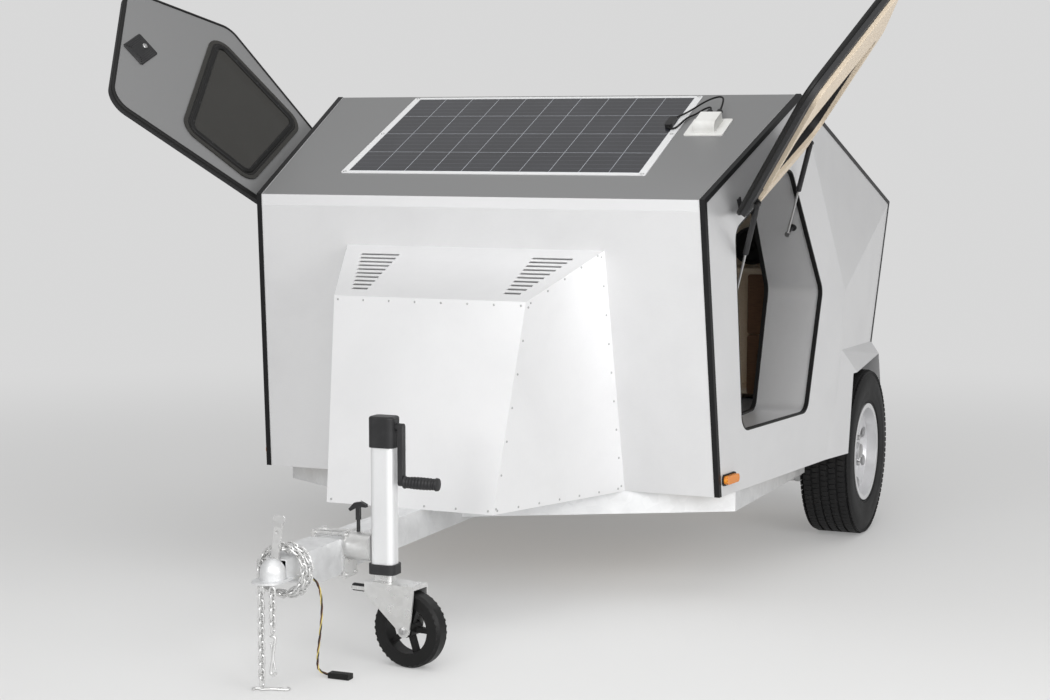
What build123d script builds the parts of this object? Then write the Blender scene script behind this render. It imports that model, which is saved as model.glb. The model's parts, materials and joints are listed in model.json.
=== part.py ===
"""Teardrop trailer with a faceted cabin, gull-wing doors and a caster jack.

Frame: +X forward to the coupler, +Y to the trailer's left, +Z up, floor at z = 0.
Stations along the trailer are given from the front wall's top edge and moved to the
origin, the middle of the overall length, when a piece is saved.
"""
from build123d import *
import math
import os

os.makedirs("parts", exist_ok=True)

# cabin hull
wall = 38                 # front wall, roofs, hatch and floor
skin = 20                 # side walls' outer layer, which runs out to the edges
floor_z = 392             # underside of the body
front_top_z = 1440
front_top_half = 880      # half width at the front wall's top edge, which sets all widths
front_low_spread = 32     # other corners, further out than that
apex_spread = 101
rear_spread = 80
tyre_spread = 190
front_low_x = -105        # the front wall leans in toward its foot
front_low_half = front_top_half + front_low_spread
apex_x = -840             # ridge between the two roof slopes
apex_z = 1814
apex_half = front_top_half + apex_spread
rear_x = -2428            # rearmost corner, at the hatch's top
rear_z = 1363
rear_half = front_top_half + rear_spread
wheel_x = -1662
tyre_r = 344
arch_corner_in = 50       # arch's upper corners, inside the tyre's ends
arch_front_over = 17      # and above its top
arch_rear_over = 39
arch_toe_gap = 38         # arch's lower corners, past the tyre's ends
arch_front_x = wheel_x + tyre_r - arch_corner_in
arch_front_z = 2 * tyre_r + arch_front_over
arch_rear_x = wheel_x - tyre_r + arch_corner_in
arch_rear_z = 2 * tyre_r + arch_rear_over
arch_toe_x = wheel_x + tyre_r + arch_toe_gap
arch_heel_x = wheel_x - tyre_r - arch_toe_gap
heel_to_tuck = 44
toe_to_fold = 44
toe_to_flare = 158
arch_to_tuck = 38
arch_to_fold = 105
tuck_x = arch_heel_x - heel_to_tuck     # where the hatch ends and the lower tail begins
tuck_z = arch_rear_z + arch_to_tuck
tyre_width = 205
tyre_out = front_top_half + tyre_spread
wheel_room = 35           # between the tyre and its well
well_skin = 50            # between the well and the cabin
arch_in = tyre_out - tyre_width - wheel_room
inner_half = arch_in - well_skin
crest_x = -1291           # knee of the side crease
crest_z = 1044
fold_x = arch_toe_x + toe_to_fold       # crease meets the arch's flare
fold_z = arch_front_z + arch_to_fold
overrun = 60              # how far a cutting tool passes its work
running_gap = 6           # round the hatch
contact = 0.3             # between surfaces that meet across a joint
trim_leg = 17             # black edge trim, along each face
trim_thick = 2.5

# wheels and arches
bead_r = 190
shoulder_drop = 9
rim_lip_r = 202
rim_thick = 6
disc_back = 52            # wheel disc behind the tyre's outer face
disc_thick = 14
hub_r = 62
hub_cap_r = 36
hub_cap_out = 18          # past the disc's face
spindle_r = 17.5
spoke_count = 8
spoke_hole_r = 24
spoke_ring_r = 128
arch_front_out = 13       # arch's corners, past the tyre's outer face
arch_front_y = tyre_out + arch_front_out
arch_rear_in = 33
arch_rear_y = tyre_out - arch_rear_in
arch_toe_out = 9
arch_toe_y = tyre_out + arch_toe_out
arch_heel_in = 30
arch_heel_y = tyre_out - arch_heel_in
flare_x = arch_toe_x + toe_to_flare     # lower end of the flare's front crease
flare_z = 489
flare_foot_x = -1044

# doors, on the side wall: u runs to the rear along the hinge line, drop runs down
hinge_drop = 165          # hinge line below the roof's edge
hinge_out = 20            # hinge pin outboard of the wall
hinge_stations = (269, 655)
hinge_r = 9
hinge_length = 52
leaf_thick = 5
leaf_reach = 50
door_swing = 141          # from shut to the pose in which it stands open
door_thick = 30
door_gap = 5              # between the shut door and the wall
door_lap = 26             # door past the opening's edge
opening_r = 62
opening_front_top_x = -250
opening_front_top_z = 1330
opening_front_low_x = -300
opening_sill_z = 600
opening_rear_low_x = -905
opening_knee_x = -1062
opening_knee_z = 1063
opening_rear_top_x = -752
opening_rear_top_z = 1550
seal_thick = 7
seal_deep = 16
liner_thick = 14
liner_inset = 42          # from the opening's edge, leaves room for the struts
window_r = 50
window_front_top_x = -310
window_front_top_z = 1212
window_front_low_x = -367
window_front_low_z = 910
window_rear_low_x = -968
window_rear_low_z = 1003
window_rear_top_x = -777
window_rear_top_z = 1424
glass_thick = 5
glass_lap = 24
latch_x = -632            # paddle in a pan near the door's foot
latch_z = 668
latch_width = 92
latch_height = 62
latch_lip = 5
latch_play = 2

# gas struts, one near each end of the door
strut_stations = (192, 720)
strut_door_drop = 90      # stud on the door, below the hinge pin
strut_door_in = 29        # and inboard of it
strut_jamb_drop = 320     # stud in the door jamb
strut_jamb_in = 77
strut_tube_r = 10
strut_rod_r = 4.5
strut_tube_length = 205
strut_play = 0.4
strut_engaged = 14        # rod left in the tube at full length
strut_eye = 10
stud_r = 5
stud_base_r = 14
stud_base = 6
stud_reach = 12

# nose box on the front wall
nose_back_top_z = 1257
nose_back_top_half = 509
nose_front_top_x = 351
nose_front_top_z = 1099
nose_front_top_half = 367
nose_foot_x = 516
nose_foot_half = 315
nose_sheet = 4
louvre_count = 10
louvre_inner = 262        # slots start here each side of the middle
louvre_outer_top = 416
louvre_outer_low = 325
louvre_top_x = 50
louvre_low_x = 297
louvre_slot = 13

# roof equipment
panel_front = 190         # solar panel from the front edge, up the slope
panel_length = 715
panel_edge = 269          # between the panel and the roof's edge
panel_half = front_top_half - panel_edge
panel_shift = -8
panel_thick = 3
junction_up = 640         # junction box, up the slope
lead_span = 154           # from the junction box to the gland
junction_length = 78
junction_width = 30
junction_height = 14
gland_up = 610
gland_edge = 168
gland_y = front_top_half - gland_edge
junction_y = gland_y - lead_span
gland_length = 150
gland_width = 150
gland_height = 42
lead_r = 3

# lamps
marker_x = -185
marker_z = 448
marker_length = 112
marker_height = 40
marker_thick = 20
tail_lamp_edge = 200
tail_lamp_y = rear_half - tail_lamp_edge
tail_lamp_below = 125     # the hatch's lower edge
tail_lamp_z = tuck_z - tail_lamp_below
tail_lamp_r = 52
tail_lamp_thick = 24

# cabin fittings
bulkhead_x = -1662
cabinet_deep = 182
cabinet_low_z = 586
cabinet_top_z = 1110
cupboard_width = 184
cupboard_in = inner_half - cupboard_width
cupboard_door = 16
speaker_y = 553
speaker_z = 1195
speaker_thick = 14
speaker_r = 80
mattress_thick = 130
mattress_side = 18
mattress_front = 150

# chassis
beam = 100                # square tongue and spine beam
beam_wall = 6
beam_nose_x = 1180
beam_tail_x = -2060
rail_z = 310              # underside of the rails
rail_step = 60            # rails inboard of the cabin's inner wall
rail_in = inner_half - rail_step
rail_width = 80
rail_front_x = -300
guard_out = front_low_half   # outer side rail ahead of the wheel
guard_width = 78
guard_rear_x = -1236
arm_root_x = 186          # swept front arm meets the spine
arm_width = 60
cross_stations = (-760, -1380, -1960)
cross_width = 60
axle_x = -1500            # torsion tube under the rails
axle_tube = 60
swing_arm_gap = 6
swing_arm_in = rail_in + rail_width + swing_arm_gap
swing_arm_thick = 42
swing_arm_r = 36
hub_flange_r = 52
hub_flange_thick = 12

# coupler
ball_x = 1433
ball_z = 355
ball_r = 25.4
socket_play = 0.3
dome_r = 39
sleeve = 112
sleeve_rear_x = 1102
sleeve_front_x = 1270
flange_z = 327
flange_thick = 6
flange_half = 48
coupler_front_x = 1509
neck_front_x = 1409
neck_front_width = 72
neck_front_height = 56
neck_wall = 5
lever_x = 1426
lever_top_z = 523
lever_width = 26
lever_thick = 8
lever_lean = 14

# caster jack beside the tongue
jack_x = 1042
jack_y = 179
jack_tube_x = 60
jack_tube_y = 80
jack_wall = 6
jack_corner = 20
jack_top_z = 690
jack_cap_height = 98
jack_foot_z = 286
jack_cap_lap = 4
mount_plate = 8
mount_length = 84
mount_height = 150
mount_bolt_r = 6
mount_bolt_x = 29
mount_bolt_z = 64
swivel_r = 46
swivel_z = 368
leg_play = 1
leg_inside = 280
caster_trail = 95
caster_turn = 83          # heading of the trail, from +X toward +Y
caster_r = 122
caster_width = 60
caster_bead_r = 88
caster_hub_r = 24
caster_spokes = 5
fork_thick = 6
fork_gap = 7              # beside the wheel
fork_eye_r = 22
fork_back = 50            # crown and cheeks behind the swivel and along the trail
fork_front = 132
fork_cheek = 24
crown_low_z = 252
crown_top_z = 264
axle_r = 8
swivel_pin_r = 12          # caster's pin in the jack's leg
swivel_pin_up = 40
swivel_play = 0.05
crank_z = 754
crank_length = 172
crank_arm = 26
crank_thick = 16
crank_hub = 8
grip_length = 118
grip_r = 16

# safety chains
link_length = 42.69
link_width = 25
link_wire = 7
link_play = 0.6
chain_y = (-8, 31)        # the two strands
chain_x = 1490
chain_link_count = (14, 6)

# tow wires and their flat plug
wire_r = 4
plug_length = 70
plug_width = 34
plug_height = 18

# hatch fittings
hatch_pin_out = 8
hatch_pin_r = 6
hatch_barrel_short = 100  # hinge ends this far inside the hatch's corner
hatch_barrel_half = rear_half - hatch_barrel_short
handle_width = 110
handle_height = 46
handle_thick = 12
handle_up = 70            # above the hatch's foot
hatch_knuckles = 5
hatch_leaf = 2.5
hatch_leaf_up = 20        # leaf on the roof's end face
panel_corner = 8
lamp_base = 5
cabinet_board = 20
cupboard_gap = 3
cupboard_corner = 12
speaker_rim = 12
hub_play = 6

lever_head = 38           # head of the latch lever, with a hole through it
lever_head_up = 26
lever_hole_r = 6
hook_wire = 9
hook_width = 26
hook_lengths = (118, 128)
hook_floor = (1471, 12)   # middle of the hook that lies on the floor
hook_turn = 113
heap_loops = ((1378, 0, 345.9), (1350, 0, 342.9))   # x, y and z of each loop round the neck
heap_link_count = (22, 24)
collar_low = 288          # black band at the jack tube's foot
collar_top = 320
collar_out = 6
pull_y = 86               # pull handle on the swivel
pull_stem_r = 6
pull_thick = 16
pull_outline = ((-6, 0), (-6, 38), (-26, 26), (-32, 33), (-12, 54), (12, 58), (30, 50), (30, 41), (6, 42), (6, 0))
pull_up = 44
brake_from = 44           # brake lever, out from the swivel against the trail
brake_to = 118
brake_width = 26
brake_thick = 12
brake_z = 226
gland_base = 4
gland_hump_up = 104
gland_hump_across = 80
gland_round = 26
nut_r = 11
nut_length = 70
nut_space = 19
nut_z = 24
lead_routes = (           # up the slope, to the left and off the roof, from the gland's nuts to the junction box
    ((707, 731, 24), (760, 731, 38), (806, 716, 42), (818, 676, 32), (796, 640, 22), (740, 614, 18), (704, 586, 12),
     (681.5, 563, 10)),
    ((707, 693, 24), (736, 693, 30), (740, 664, 22), (716, 630, 7), (690, 606, 7), (620, 596, 7), (586, 590, 8),
     (582, 566, 9), (599.5, 559, 10)),
)
tow_route = ((1330, 48.6, 330), (1330, 92, 326), (1314, 104, 250), (1292, 84, 150), (1272, 60, 56), (1269, 62, 9.3),
             (1269, 104, 9.3))
tread_share = 0.78        # widths and radii of the tyre's flank, as shares
crown_share = 0.7
bead_share = 0.8
flank_share = 1.45
flank_y_share = 0.97
flank_r_share = 1.2
rod_stop_share = 1.5      # strut tube's closed end, in tube radii
corner_share = 0.45       # largest arc of a cord's corner, of its shorter run
cone_share = 0.35
arm_root_share = 1.4
boss_share = 1.3
hub_tube_share = 0.75
hole_step_share = 1.15
flange_nose_share = 0.9
caster_bead_share = 0.42
caster_shoulder_share = 0.93
caster_tread_share = 0.3
felloe_share = 0.86
spoke_from_share = 0.8
spoke_to_share = 0.9
def v(x, y, z):
    return Vector(x, y, z)


def face_plane(a, b, c, outward):
    """Plane through three points, its normal on the side of the vector outward."""
    normal = (b - a).cross(c - a).normalized()
    if normal.dot(outward) < 0:
        normal = -normal
    return Plane(origin=a, z_dir=normal)


def outer_part(solid, plane, depth=0):
    return split(solid, bisect_by=plane.offset(-depth), keep=Keep.TOP)


def inner_part(solid, plane, depth=0):
    return split(solid, bisect_by=plane.offset(-depth), keep=Keep.BOTTOM)


def opposite(plane):
    """The same side plane on the trailer's other side."""
    o, n = plane.origin, plane.z_dir
    return Plane(origin=v(o.X, -o.Y, o.Z), z_dir=v(n.X, -n.Y, n.Z))


def side_prism(points, y_from, y_to):
    """Solid with an outline given in x and z, between two stations across the trailer."""
    wire = Wire.make_polygon([v(x, y_from, z) for x, z in points], close=True)
    return Solid.extrude(Face(wire), v(0, y_to - y_from, 0))


def block(x0, x1, y0, y1, z0, z1):
    size = (x1 - x0, y1 - y0, z1 - z0)
    return Pos((x0 + x1) / 2, (y0 + y1) / 2, (z0 + z1) / 2) * Box(*size)


def rod(a, b, r):
    """Round bar between two points."""
    axis = b - a
    return extrude(Plane(origin=a, z_dir=axis) * Circle(r), axis.length)


def mirrored(solid):
    return mirror(solid, about=Plane.XZ)


def as_one(*solids):
    result = solids[0]
    for solid in solids[1:]:
        result = result + solid
    return result


# corners of the left side
front_top = v(0, front_top_half, front_top_z)
front_low = v(front_low_x, front_low_half, floor_z)
apex = v(apex_x, apex_half, apex_z)
rear = v(rear_x, rear_half, rear_z)
left = v(0, 1, 0)


def on_plane(plane, x, z):
    """Point of a side plane above the x and z given."""
    n = plane.z_dir
    reach = n.dot(plane.origin)
    return v(x, (reach - n.X * x - n.Z * z) / n.Y, z)


side_plane = face_plane(front_top, front_low, apex, left)
crest = on_plane(side_plane, crest_x, crest_z)
fold = on_plane(side_plane, fold_x, fold_z)
shoulder_plane = face_plane(apex, crest, rear, left)
quarter_plane = face_plane(crest, fold, rear, left)
tuck = on_plane(quarter_plane, tuck_x, tuck_z)
across = v(0, 1, 0)


def sloped(a, b, outward):
    """Plane across the trailer through two side points."""
    return face_plane(a, b, a + across, outward)


roof_front_plane = sloped(front_top, apex, v(0, 0, 1))
roof_rear_plane = sloped(apex, rear, v(0, 0, 1))
front_plane = sloped(front_top, front_low, v(1, 0, 0))
hatch_plane = sloped(rear, tuck, v(-1, 0, 0))
tail_plane = Plane(origin=tuck, z_dir=(-1, 0, 0))
floor_plane = Plane(origin=front_low, z_dir=(0, 0, -1))
side_planes = [side_plane, shoulder_plane, quarter_plane]


def hull(grow=0):
    """Cabin's outer form; grow moves every face outward."""
    half = arch_front_y + overrun
    body = block(rear_x - half, half, -half, half, floor_z - half, apex_z + half)
    for plane in [roof_front_plane, roof_rear_plane, front_plane, floor_plane]:
        body = inner_part(body, plane, -grow)
    upper = inner_part(body, hatch_plane, -grow)
    lower = inner_part(body & block(rear_x - half, half, -half, half, 0, tuck_z), tail_plane, -grow)
    body = upper + lower
    for plane in side_planes:
        body = inner_part(body, plane, -grow)
        body = inner_part(body, opposite(plane), -grow)
    return body


cabin = hull()

# flared arch on the left side, a convex lump cut by its facets
arch_front = v(arch_front_x, arch_front_y, arch_front_z)
arch_rear = v(arch_rear_x, arch_rear_y, arch_rear_z)
arch_toe = v(arch_toe_x, arch_toe_y, floor_z)
arch_heel = v(arch_heel_x, arch_heel_y, floor_z)
flare = on_plane(side_plane, flare_x, flare_z)
flare_foot = on_plane(side_plane, flare_foot_x, floor_z)
arch_facets = [
    face_plane(fold, flare, arch_toe, left),
    face_plane(flare, arch_toe, flare_foot, left),
    face_plane(fold, arch_front, arch_rear, left),
    face_plane(fold, arch_rear, tuck, left),
    face_plane(tuck, arch_rear, arch_heel, left),
]
flare_lump = block(tuck_x, flare_foot_x, arch_in, arch_front_y + overrun, floor_z, fold_z)
for facet in arch_facets:
    flare_lump = inner_part(flare_lump, facet)

well_points = [(arch_front_x, arch_front_z), (arch_rear_x, arch_rear_z), (arch_heel_x, floor_z),
               (arch_heel_x, floor_z - overrun), (arch_toe_x, floor_z - overrun), (arch_toe_x, floor_z)]
well = side_prism(well_points, arch_in, arch_front_y + overrun)

# panels, split off one after another from the outside
side_layers = []
rest = cabin
for plane in side_planes:
    side_layers.append(outer_part(rest, plane, skin))
    rest = inner_part(rest, plane, skin)
    rest = inner_part(rest, opposite(plane), skin)

roof_front = outer_part(rest, roof_front_plane, wall)
rest = inner_part(rest, roof_front_plane, wall)
roof_rear = outer_part(rest, roof_rear_plane, wall)
rest = inner_part(rest, roof_rear_plane, wall)
front_wall = outer_part(rest, front_plane, wall)
rest = inner_part(rest, front_plane, wall)
floor = outer_part(rest, floor_plane, wall) - well - mirrored(well)
rest = inner_part(rest, floor_plane, wall)

# hatch: upper rear face, with a running gap all round
hatch_foot = Plane(origin=tuck, z_dir=(rear - tuck).cross(across).cross(across))
if hatch_foot.z_dir.Z > 0:
    hatch_foot = Plane(origin=tuck, z_dir=-hatch_foot.z_dir)
hatch_zone = inner_part(outer_part(rest, hatch_plane, wall), hatch_foot)
hatch_zone = hatch_zone & block(rear_x - overrun, apex_x, -arch_front_y, arch_front_y, tuck_z - wall, apex_z)
rest = rest - hatch_zone
hatch = inner_part(inner_part(hatch_zone, roof_rear_plane, wall + running_gap), hatch_foot, running_gap)
for plane in side_planes[1:]:
    hatch = inner_part(hatch, plane, skin + running_gap)
    hatch = inner_part(hatch, opposite(plane), skin + running_gap)

tail_zone = block(tuck_x - overrun, tuck_x + wall, -arch_front_y, arch_front_y, 0, tuck_z + overrun)
tail_panel = rest & tail_zone
rest = rest - tail_zone

inner_plane = Plane(origin=v(0, inner_half, 0), z_dir=(0, 1, 0))
side_left = as_one(*side_layers) + outer_part(rest, inner_plane)
side_left = side_left + (flare_lump - cabin)
side_left = side_left - well

crease_points = [(apex_x, apex_z + overrun), (apex_x, apex_z), (crest_x, crest_z), (fold_x, fold_z),
                 (flare_x, flare_z), (flare_foot_x, floor_z), (flare_foot_x, 0), (overrun, 0),
                 (overrun, apex_z + overrun)]
fore_zone = side_prism(crease_points, 0, arch_front_y + overrun)

# door frame: its x runs to the rear along the hinge line, y up the wall, z outboard
hinge_dir = (apex - front_top).normalized()
up_dir = side_plane.z_dir.cross(hinge_dir).normalized()
door_origin = front_top - up_dir * hinge_drop
door_frame = Plane(origin=door_origin, x_dir=hinge_dir, z_dir=side_plane.z_dir)
door_axis = Axis(door_origin + side_plane.z_dir * hinge_out, hinge_dir)


def wall_spots(corners):
    """Points of the side wall, given by x and z, in the door frame."""
    return [door_frame.to_local_coords(on_plane(side_plane, x, z)) for x, z in corners]


opening_spots = wall_spots([
    (opening_front_top_x, opening_front_top_z),
    (opening_front_low_x, opening_sill_z),
    (opening_rear_low_x, opening_sill_z),
    (opening_knee_x, opening_knee_z),
    (opening_rear_top_x, opening_rear_top_z),
])
window_spots = wall_spots([
    (window_front_top_x, window_front_top_z),
    (window_front_low_x, window_front_low_z),
    (window_rear_low_x, window_rear_low_z),
    (window_rear_top_x, window_rear_top_z),
])


def outline(spots, radius, grow=0):
    """Rounded face in the door frame, grown or shrunk all round."""
    face = Face(Wire.make_polygon([v(p.X, p.Y, 0) for p in spots], close=True))
    if grow:
        face = offset(face, amount=grow, kind=Kind.INTERSECTION)
    return fillet(face.vertices(), radius)


def slab(face, z0, z1):
    """Plate of an outline between two heights off the side wall."""
    return door_frame * extrude(Pos(0, 0, z0) * face, z1 - z0)


opening_face = outline(opening_spots, opening_r)
opening_deep = arch_front_y - inner_half + overrun
opening_cut = slab(opening_face, -opening_deep, overrun)
side_wall_left = (side_left & fore_zone) - opening_cut
side_rear_left = side_left - fore_zone

# rubber seals round the opening, at the outer skin and at the inner wall
seal_face = opening_face - outline(opening_spots, opening_r - seal_thick, -seal_thick)
seal_tube = slab(seal_face, -opening_deep, -seal_deep)
seal_inner = seal_tube & block(rear_x, 0, inner_half, inner_half + seal_deep, 0, apex_z)
seals_left = slab(seal_face, -seal_deep, 0) + seal_inner

# door panel with its window and the latch's pocket
window_face = outline(window_spots, window_r)
door_out = door_gap + door_thick
pocket = door_out - door_thick / 2
pan = Rectangle(latch_width, latch_height)
pan = fillet(pan.vertices(), latch_height / 5)
paddle = offset(pan, amount=-latch_play)
latch_spot = wall_spots([(latch_x, latch_z)])[0]
latch_place = Pos(latch_spot.X, latch_spot.Y, 0)
door_face = outline(opening_spots, opening_r + door_lap, door_lap)
door_left = slab(door_face - window_face, door_gap, door_out) - slab(latch_place * pan, pocket, door_out + overrun)
paddle_left = slab(latch_place * paddle, pocket, door_out + latch_lip)

# tinted window over the opening, and the birch liner inside
glass_face = outline(window_spots, window_r + glass_lap, glass_lap)
glass_left = slab(glass_face, door_out, door_out + glass_thick)
liner_face = outline(opening_spots, opening_r - seal_thick, -liner_inset)
liner_left = slab(liner_face - window_face, door_gap - liner_thick, door_gap)


def across_hinge(points, u0, u1):
    """Prism along the hinge, its outline given below the pin and outboard of it."""
    wire = Wire.make_polygon([v(u0, -drop, hinge_out + out) for drop, out in points], close=True)
    return door_frame * Solid.extrude(Face(wire), v(u1 - u0, 0, 0))


def along_hinge(u0, u1, drop, out, r):
    """Round bar along the hinge, placed below the pin and outboard of it."""
    a, b = min(u0, u1), max(u0, u1)
    return door_frame * rod(v(a, -drop, hinge_out + out), v(b, -drop, hinge_out + out), r)


# hinges: a fixed leaf above the pin, a cranked leaf reaching over the door's edge below it
face_out = door_out - hinge_out
fixed_leaf = [  # drop below the pin and distance outboard of it
    (0, -hinge_out), (0, 0), (leaf_thick / 5 - hinge_r, 0), (leaf_thick / 5 - hinge_r, leaf_thick - hinge_out),
    (-leaf_reach, leaf_thick - hinge_out), (-leaf_reach, -hinge_out),
]
door_leaf = [
    (0, 0), (0, hinge_r - leaf_thick / 5), (leaf_thick, face_out + leaf_thick),
    (leaf_reach, face_out + leaf_thick), (leaf_reach, face_out), (leaf_thick + hinge_r / 2, face_out),
    (hinge_r - leaf_thick / 5, 0),
]
hinge_half = hinge_length / 2
fixed_leaves = []
door_leaves = []
for station in hinge_stations:
    a, b = station - hinge_half, station - contact
    fixed_leaves.append(across_hinge(fixed_leaf, a, b) + along_hinge(a, b, 0, 0, hinge_r))
    a, b = station + contact, station + hinge_half
    door_leaves.append(across_hinge(door_leaf, a, b) + along_hinge(a, b, 0, 0, hinge_r))

# struts: the door's stud swings with the door, the jamb's stud stays
swing = math.radians(door_swing)
shut_drop, shut_out = strut_door_drop, -strut_door_in
open_drop = shut_drop * math.cos(swing) - shut_out * math.sin(swing)
open_out = shut_drop * math.sin(swing) + shut_out * math.cos(swing)
shut_length = math.hypot(strut_jamb_drop - shut_drop, -strut_jamb_in - shut_out)
open_length = math.hypot(strut_jamb_drop - open_drop, -strut_jamb_in - open_out)


def edge_station(a, b, drop):
    """Where an edge of the opening crosses a given drop below the pin."""
    share = (a.Y + drop) / (a.Y - b.Y)
    return a.X + (b.X - a.X) * share


# the liner is notched round each stud, down to where the strut has left its plane
liner_face = door_gap - liner_thick - hinge_out
strut_lean = (strut_jamb_in - strut_door_in) / (strut_jamb_drop - strut_door_drop)
notch_top = shut_drop - stud_base_r - running_gap
strut_clear = shut_drop + (shut_out + strut_tube_r + running_gap - liner_face) / strut_lean
jamb_front = edge_station(opening_spots[0], opening_spots[1], strut_jamb_drop)
jamb_rear = edge_station(opening_spots[4], opening_spots[3], strut_jamb_drop)
strut_tubes = []
strut_rods = []
jamb_studs = []
door_studs = []
for station, jamb, side in [(strut_stations[0], jamb_front, -1), (strut_stations[1], jamb_rear, 1)]:
    start = door_frame.from_local_coords(v(station, -open_drop, hinge_out + open_out))
    stop = door_frame.from_local_coords(v(station, -strut_jamb_drop, hinge_out - strut_jamb_in))
    along = (stop - start).normalized()
    tube_end = start + along * strut_tube_length
    eye = rod(start - hinge_dir * strut_tube_r, start + hinge_dir * strut_tube_r, strut_tube_r)
    bore = rod(start + along * rod_stop_share * strut_tube_r, tube_end + along * overrun, strut_rod_r + strut_play)
    strut_tubes.append(rod(start, tube_end, strut_tube_r) + eye - bore)
    inner_end = tube_end - along * strut_engaged
    eye = rod(stop - hinge_dir * strut_eye / 2, stop + hinge_dir * strut_eye / 2, strut_eye)
    strut_rods.append(rod(inner_end, stop, strut_rod_r) + eye)
    tip = station + side * (strut_eye / 2 + contact)
    stud = along_hinge(tip, jamb + side * overrun, strut_jamb_drop, -strut_jamb_in, stud_r)
    base = along_hinge(jamb - side * stud_base, jamb + side * overrun, strut_jamb_drop, -strut_jamb_in, stud_base_r)
    jamb_studs.append((stud + base) & opening_cut)
    tip = station - side * (strut_tube_r + contact)
    stud = along_hinge(tip, tip - side * stud_reach, shut_drop, shut_out, stud_r)
    lug = [(shut_drop - stud_base_r, door_gap - hinge_out), (shut_drop - stud_base, shut_out - stud_base),
           (shut_drop + stud_base, shut_out - stud_base), (shut_drop + stud_base_r, door_gap - hinge_out)]
    low, high = sorted((tip - side * stud_base, tip - side * stud_reach))
    door_studs.append(stud + across_hinge(lug, low, high))
    notch = [(notch_top, -hinge_out - liner_thick), (notch_top, door_gap - hinge_out),
             (strut_clear, door_gap - hinge_out), (strut_clear, -hinge_out - liner_thick)]
    low, high = sorted((tip - side * (stud_reach + running_gap), station + side * (strut_tube_r + running_gap)))
    liner_left = liner_left - across_hinge(notch, low, high)


def opened(solid):
    """A piece of the left door in the pose in which the door stands open."""
    return solid.rotate(door_axis, -door_swing)


def group(*solids):
    return Compound(children=[s for item in solids for s in item.solids()])


door_left = opened(door_left)
glass_left = opened(glass_left)
liner_left = opened(liner_left)
door_hardware_left = opened(group(*door_leaves, *door_studs, paddle_left))
strut_tubes_left = group(*strut_tubes)
strut_rods_left = group(*strut_rods)
door_mounts_left = group(*fixed_leaves, *jamb_studs)

# hatch hinge along the seam with the roof; its x runs across, y down the hatch, z outboard
hatch_down = (v(tuck_x, 0, tuck_z) - v(rear_x, 0, rear_z)).normalized()
roof_down = (v(rear_x, 0, rear_z) - v(apex_x, 0, apex_z)).normalized()
seam_angle = math.radians(roof_down.get_angle(hatch_down))
seam = v(rear_x, 0, rear_z) + hatch_down * ((wall + running_gap / 2) / math.sin(seam_angle))
hatch_frame = Plane(origin=seam, x_dir=across, z_dir=hatch_plane.z_dir)
knuckle = 2 * hatch_barrel_half / hatch_knuckles
hatch_hinges = []
roof_hinges = []
for i in range(hatch_knuckles):
    low = i * knuckle - hatch_barrel_half + contact
    high = low + knuckle - 2 * contact
    barrel = rod(v(low, 0, hatch_pin_out), v(high, 0, hatch_pin_out), hatch_pin_r)
    reach = leaf_reach if i % 2 else -hatch_leaf_up
    leaf = block(low, high, min(0, reach), max(0, reach), 0, hatch_leaf)
    (hatch_hinges if i % 2 else roof_hinges).append(hatch_frame * (barrel + leaf))
hatch_length = math.hypot(rear_x - tuck_x, rear_z - tuck_z) - (wall + running_gap / 2) / math.sin(seam_angle)
handle = block(-handle_width / 2, handle_width / 2, hatch_length - handle_up, hatch_length - handle_up + handle_height,
               0, handle_thick)
handle = fillet(handle.edges().filter_by(Axis.Z), handle_height / 4)
hatch_hardware = group(*hatch_hinges, hatch_frame * handle)

# black trim over the body's outer edges
trim_ends = [front_low, front_top, apex, rear, tuck]
trim_zone = Sphere(trim_leg).moved(Location(front_low))
for a, b in zip(trim_ends, trim_ends[1:]):
    trim_zone = trim_zone + rod(a, b, trim_leg) + Sphere(trim_leg).moved(Location(b))
trim_left = (hull(trim_thick) - cabin) & trim_zone
trim_left = trim_left - block(rear_x, overrun, 0, arch_front_y + overrun, 0, floor_z) - flare_lump
edge_trim = group(trim_left, mirrored(trim_left))

# nose box: a sheet shell on the front wall
nose_a = v(front_low_x * (front_top_z - nose_back_top_z) / (front_top_z - floor_z),
                           nose_back_top_half, nose_back_top_z)
nose_b = v(nose_front_top_x, nose_front_top_half, nose_front_top_z)
nose_c = v(nose_foot_x, nose_foot_half, floor_z)
nose_top = sloped(nose_a, nose_b, v(0, 0, 1))
nose_front = sloped(nose_b, nose_c, v(1, 0, 0))
nose_side = face_plane(nose_a, nose_b, nose_c, left)


def nose_form(depth, back):
    """Nose box, or the space inside it, between the front wall and its own faces."""
    half = nose_foot_x + overrun
    form = block(-half, half, -half, half, floor_z + depth, front_top_z)
    form = outer_part(form, front_plane, -back)
    for plane in [nose_top, nose_front, nose_side, opposite(nose_side)]:
        form = inner_part(form, plane, depth)
    return form


nose_box = nose_form(0, 0) - nose_form(nose_sheet, nose_sheet)

# vent slots cut through the nose box's top, in two groups whose rows shorten toward the foot
slope = (nose_b - nose_a)
slope = v(slope.X, 0, slope.Z).normalized()
half_slot = louvre_slot / 2
slot_outline = [(-half_slot, nose_sheet), (half_slot, nose_sheet), (half_slot, -2 * nose_sheet),
                (-half_slot, -2 * nose_sheet)]
for i in range(louvre_count):
    share = i / (louvre_count - 1)
    x = louvre_top_x + (louvre_low_x - louvre_top_x) * share
    outer = louvre_outer_top + (louvre_outer_low - louvre_outer_top) * share
    place = v(x, 0, nose_a.Z + (x - nose_a.X) * slope.Z / slope.X)
    spots = [place + slope * along + nose_top.z_dir * up for along, up in slot_outline]
    wire = Wire.make_polygon([v(p.X, louvre_inner, p.Z) for p in spots], close=True)
    slot = Solid.extrude(Face(wire), v(0, outer - louvre_inner, 0))
    nose_box = nose_box - slot - mirrored(slot)

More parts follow.
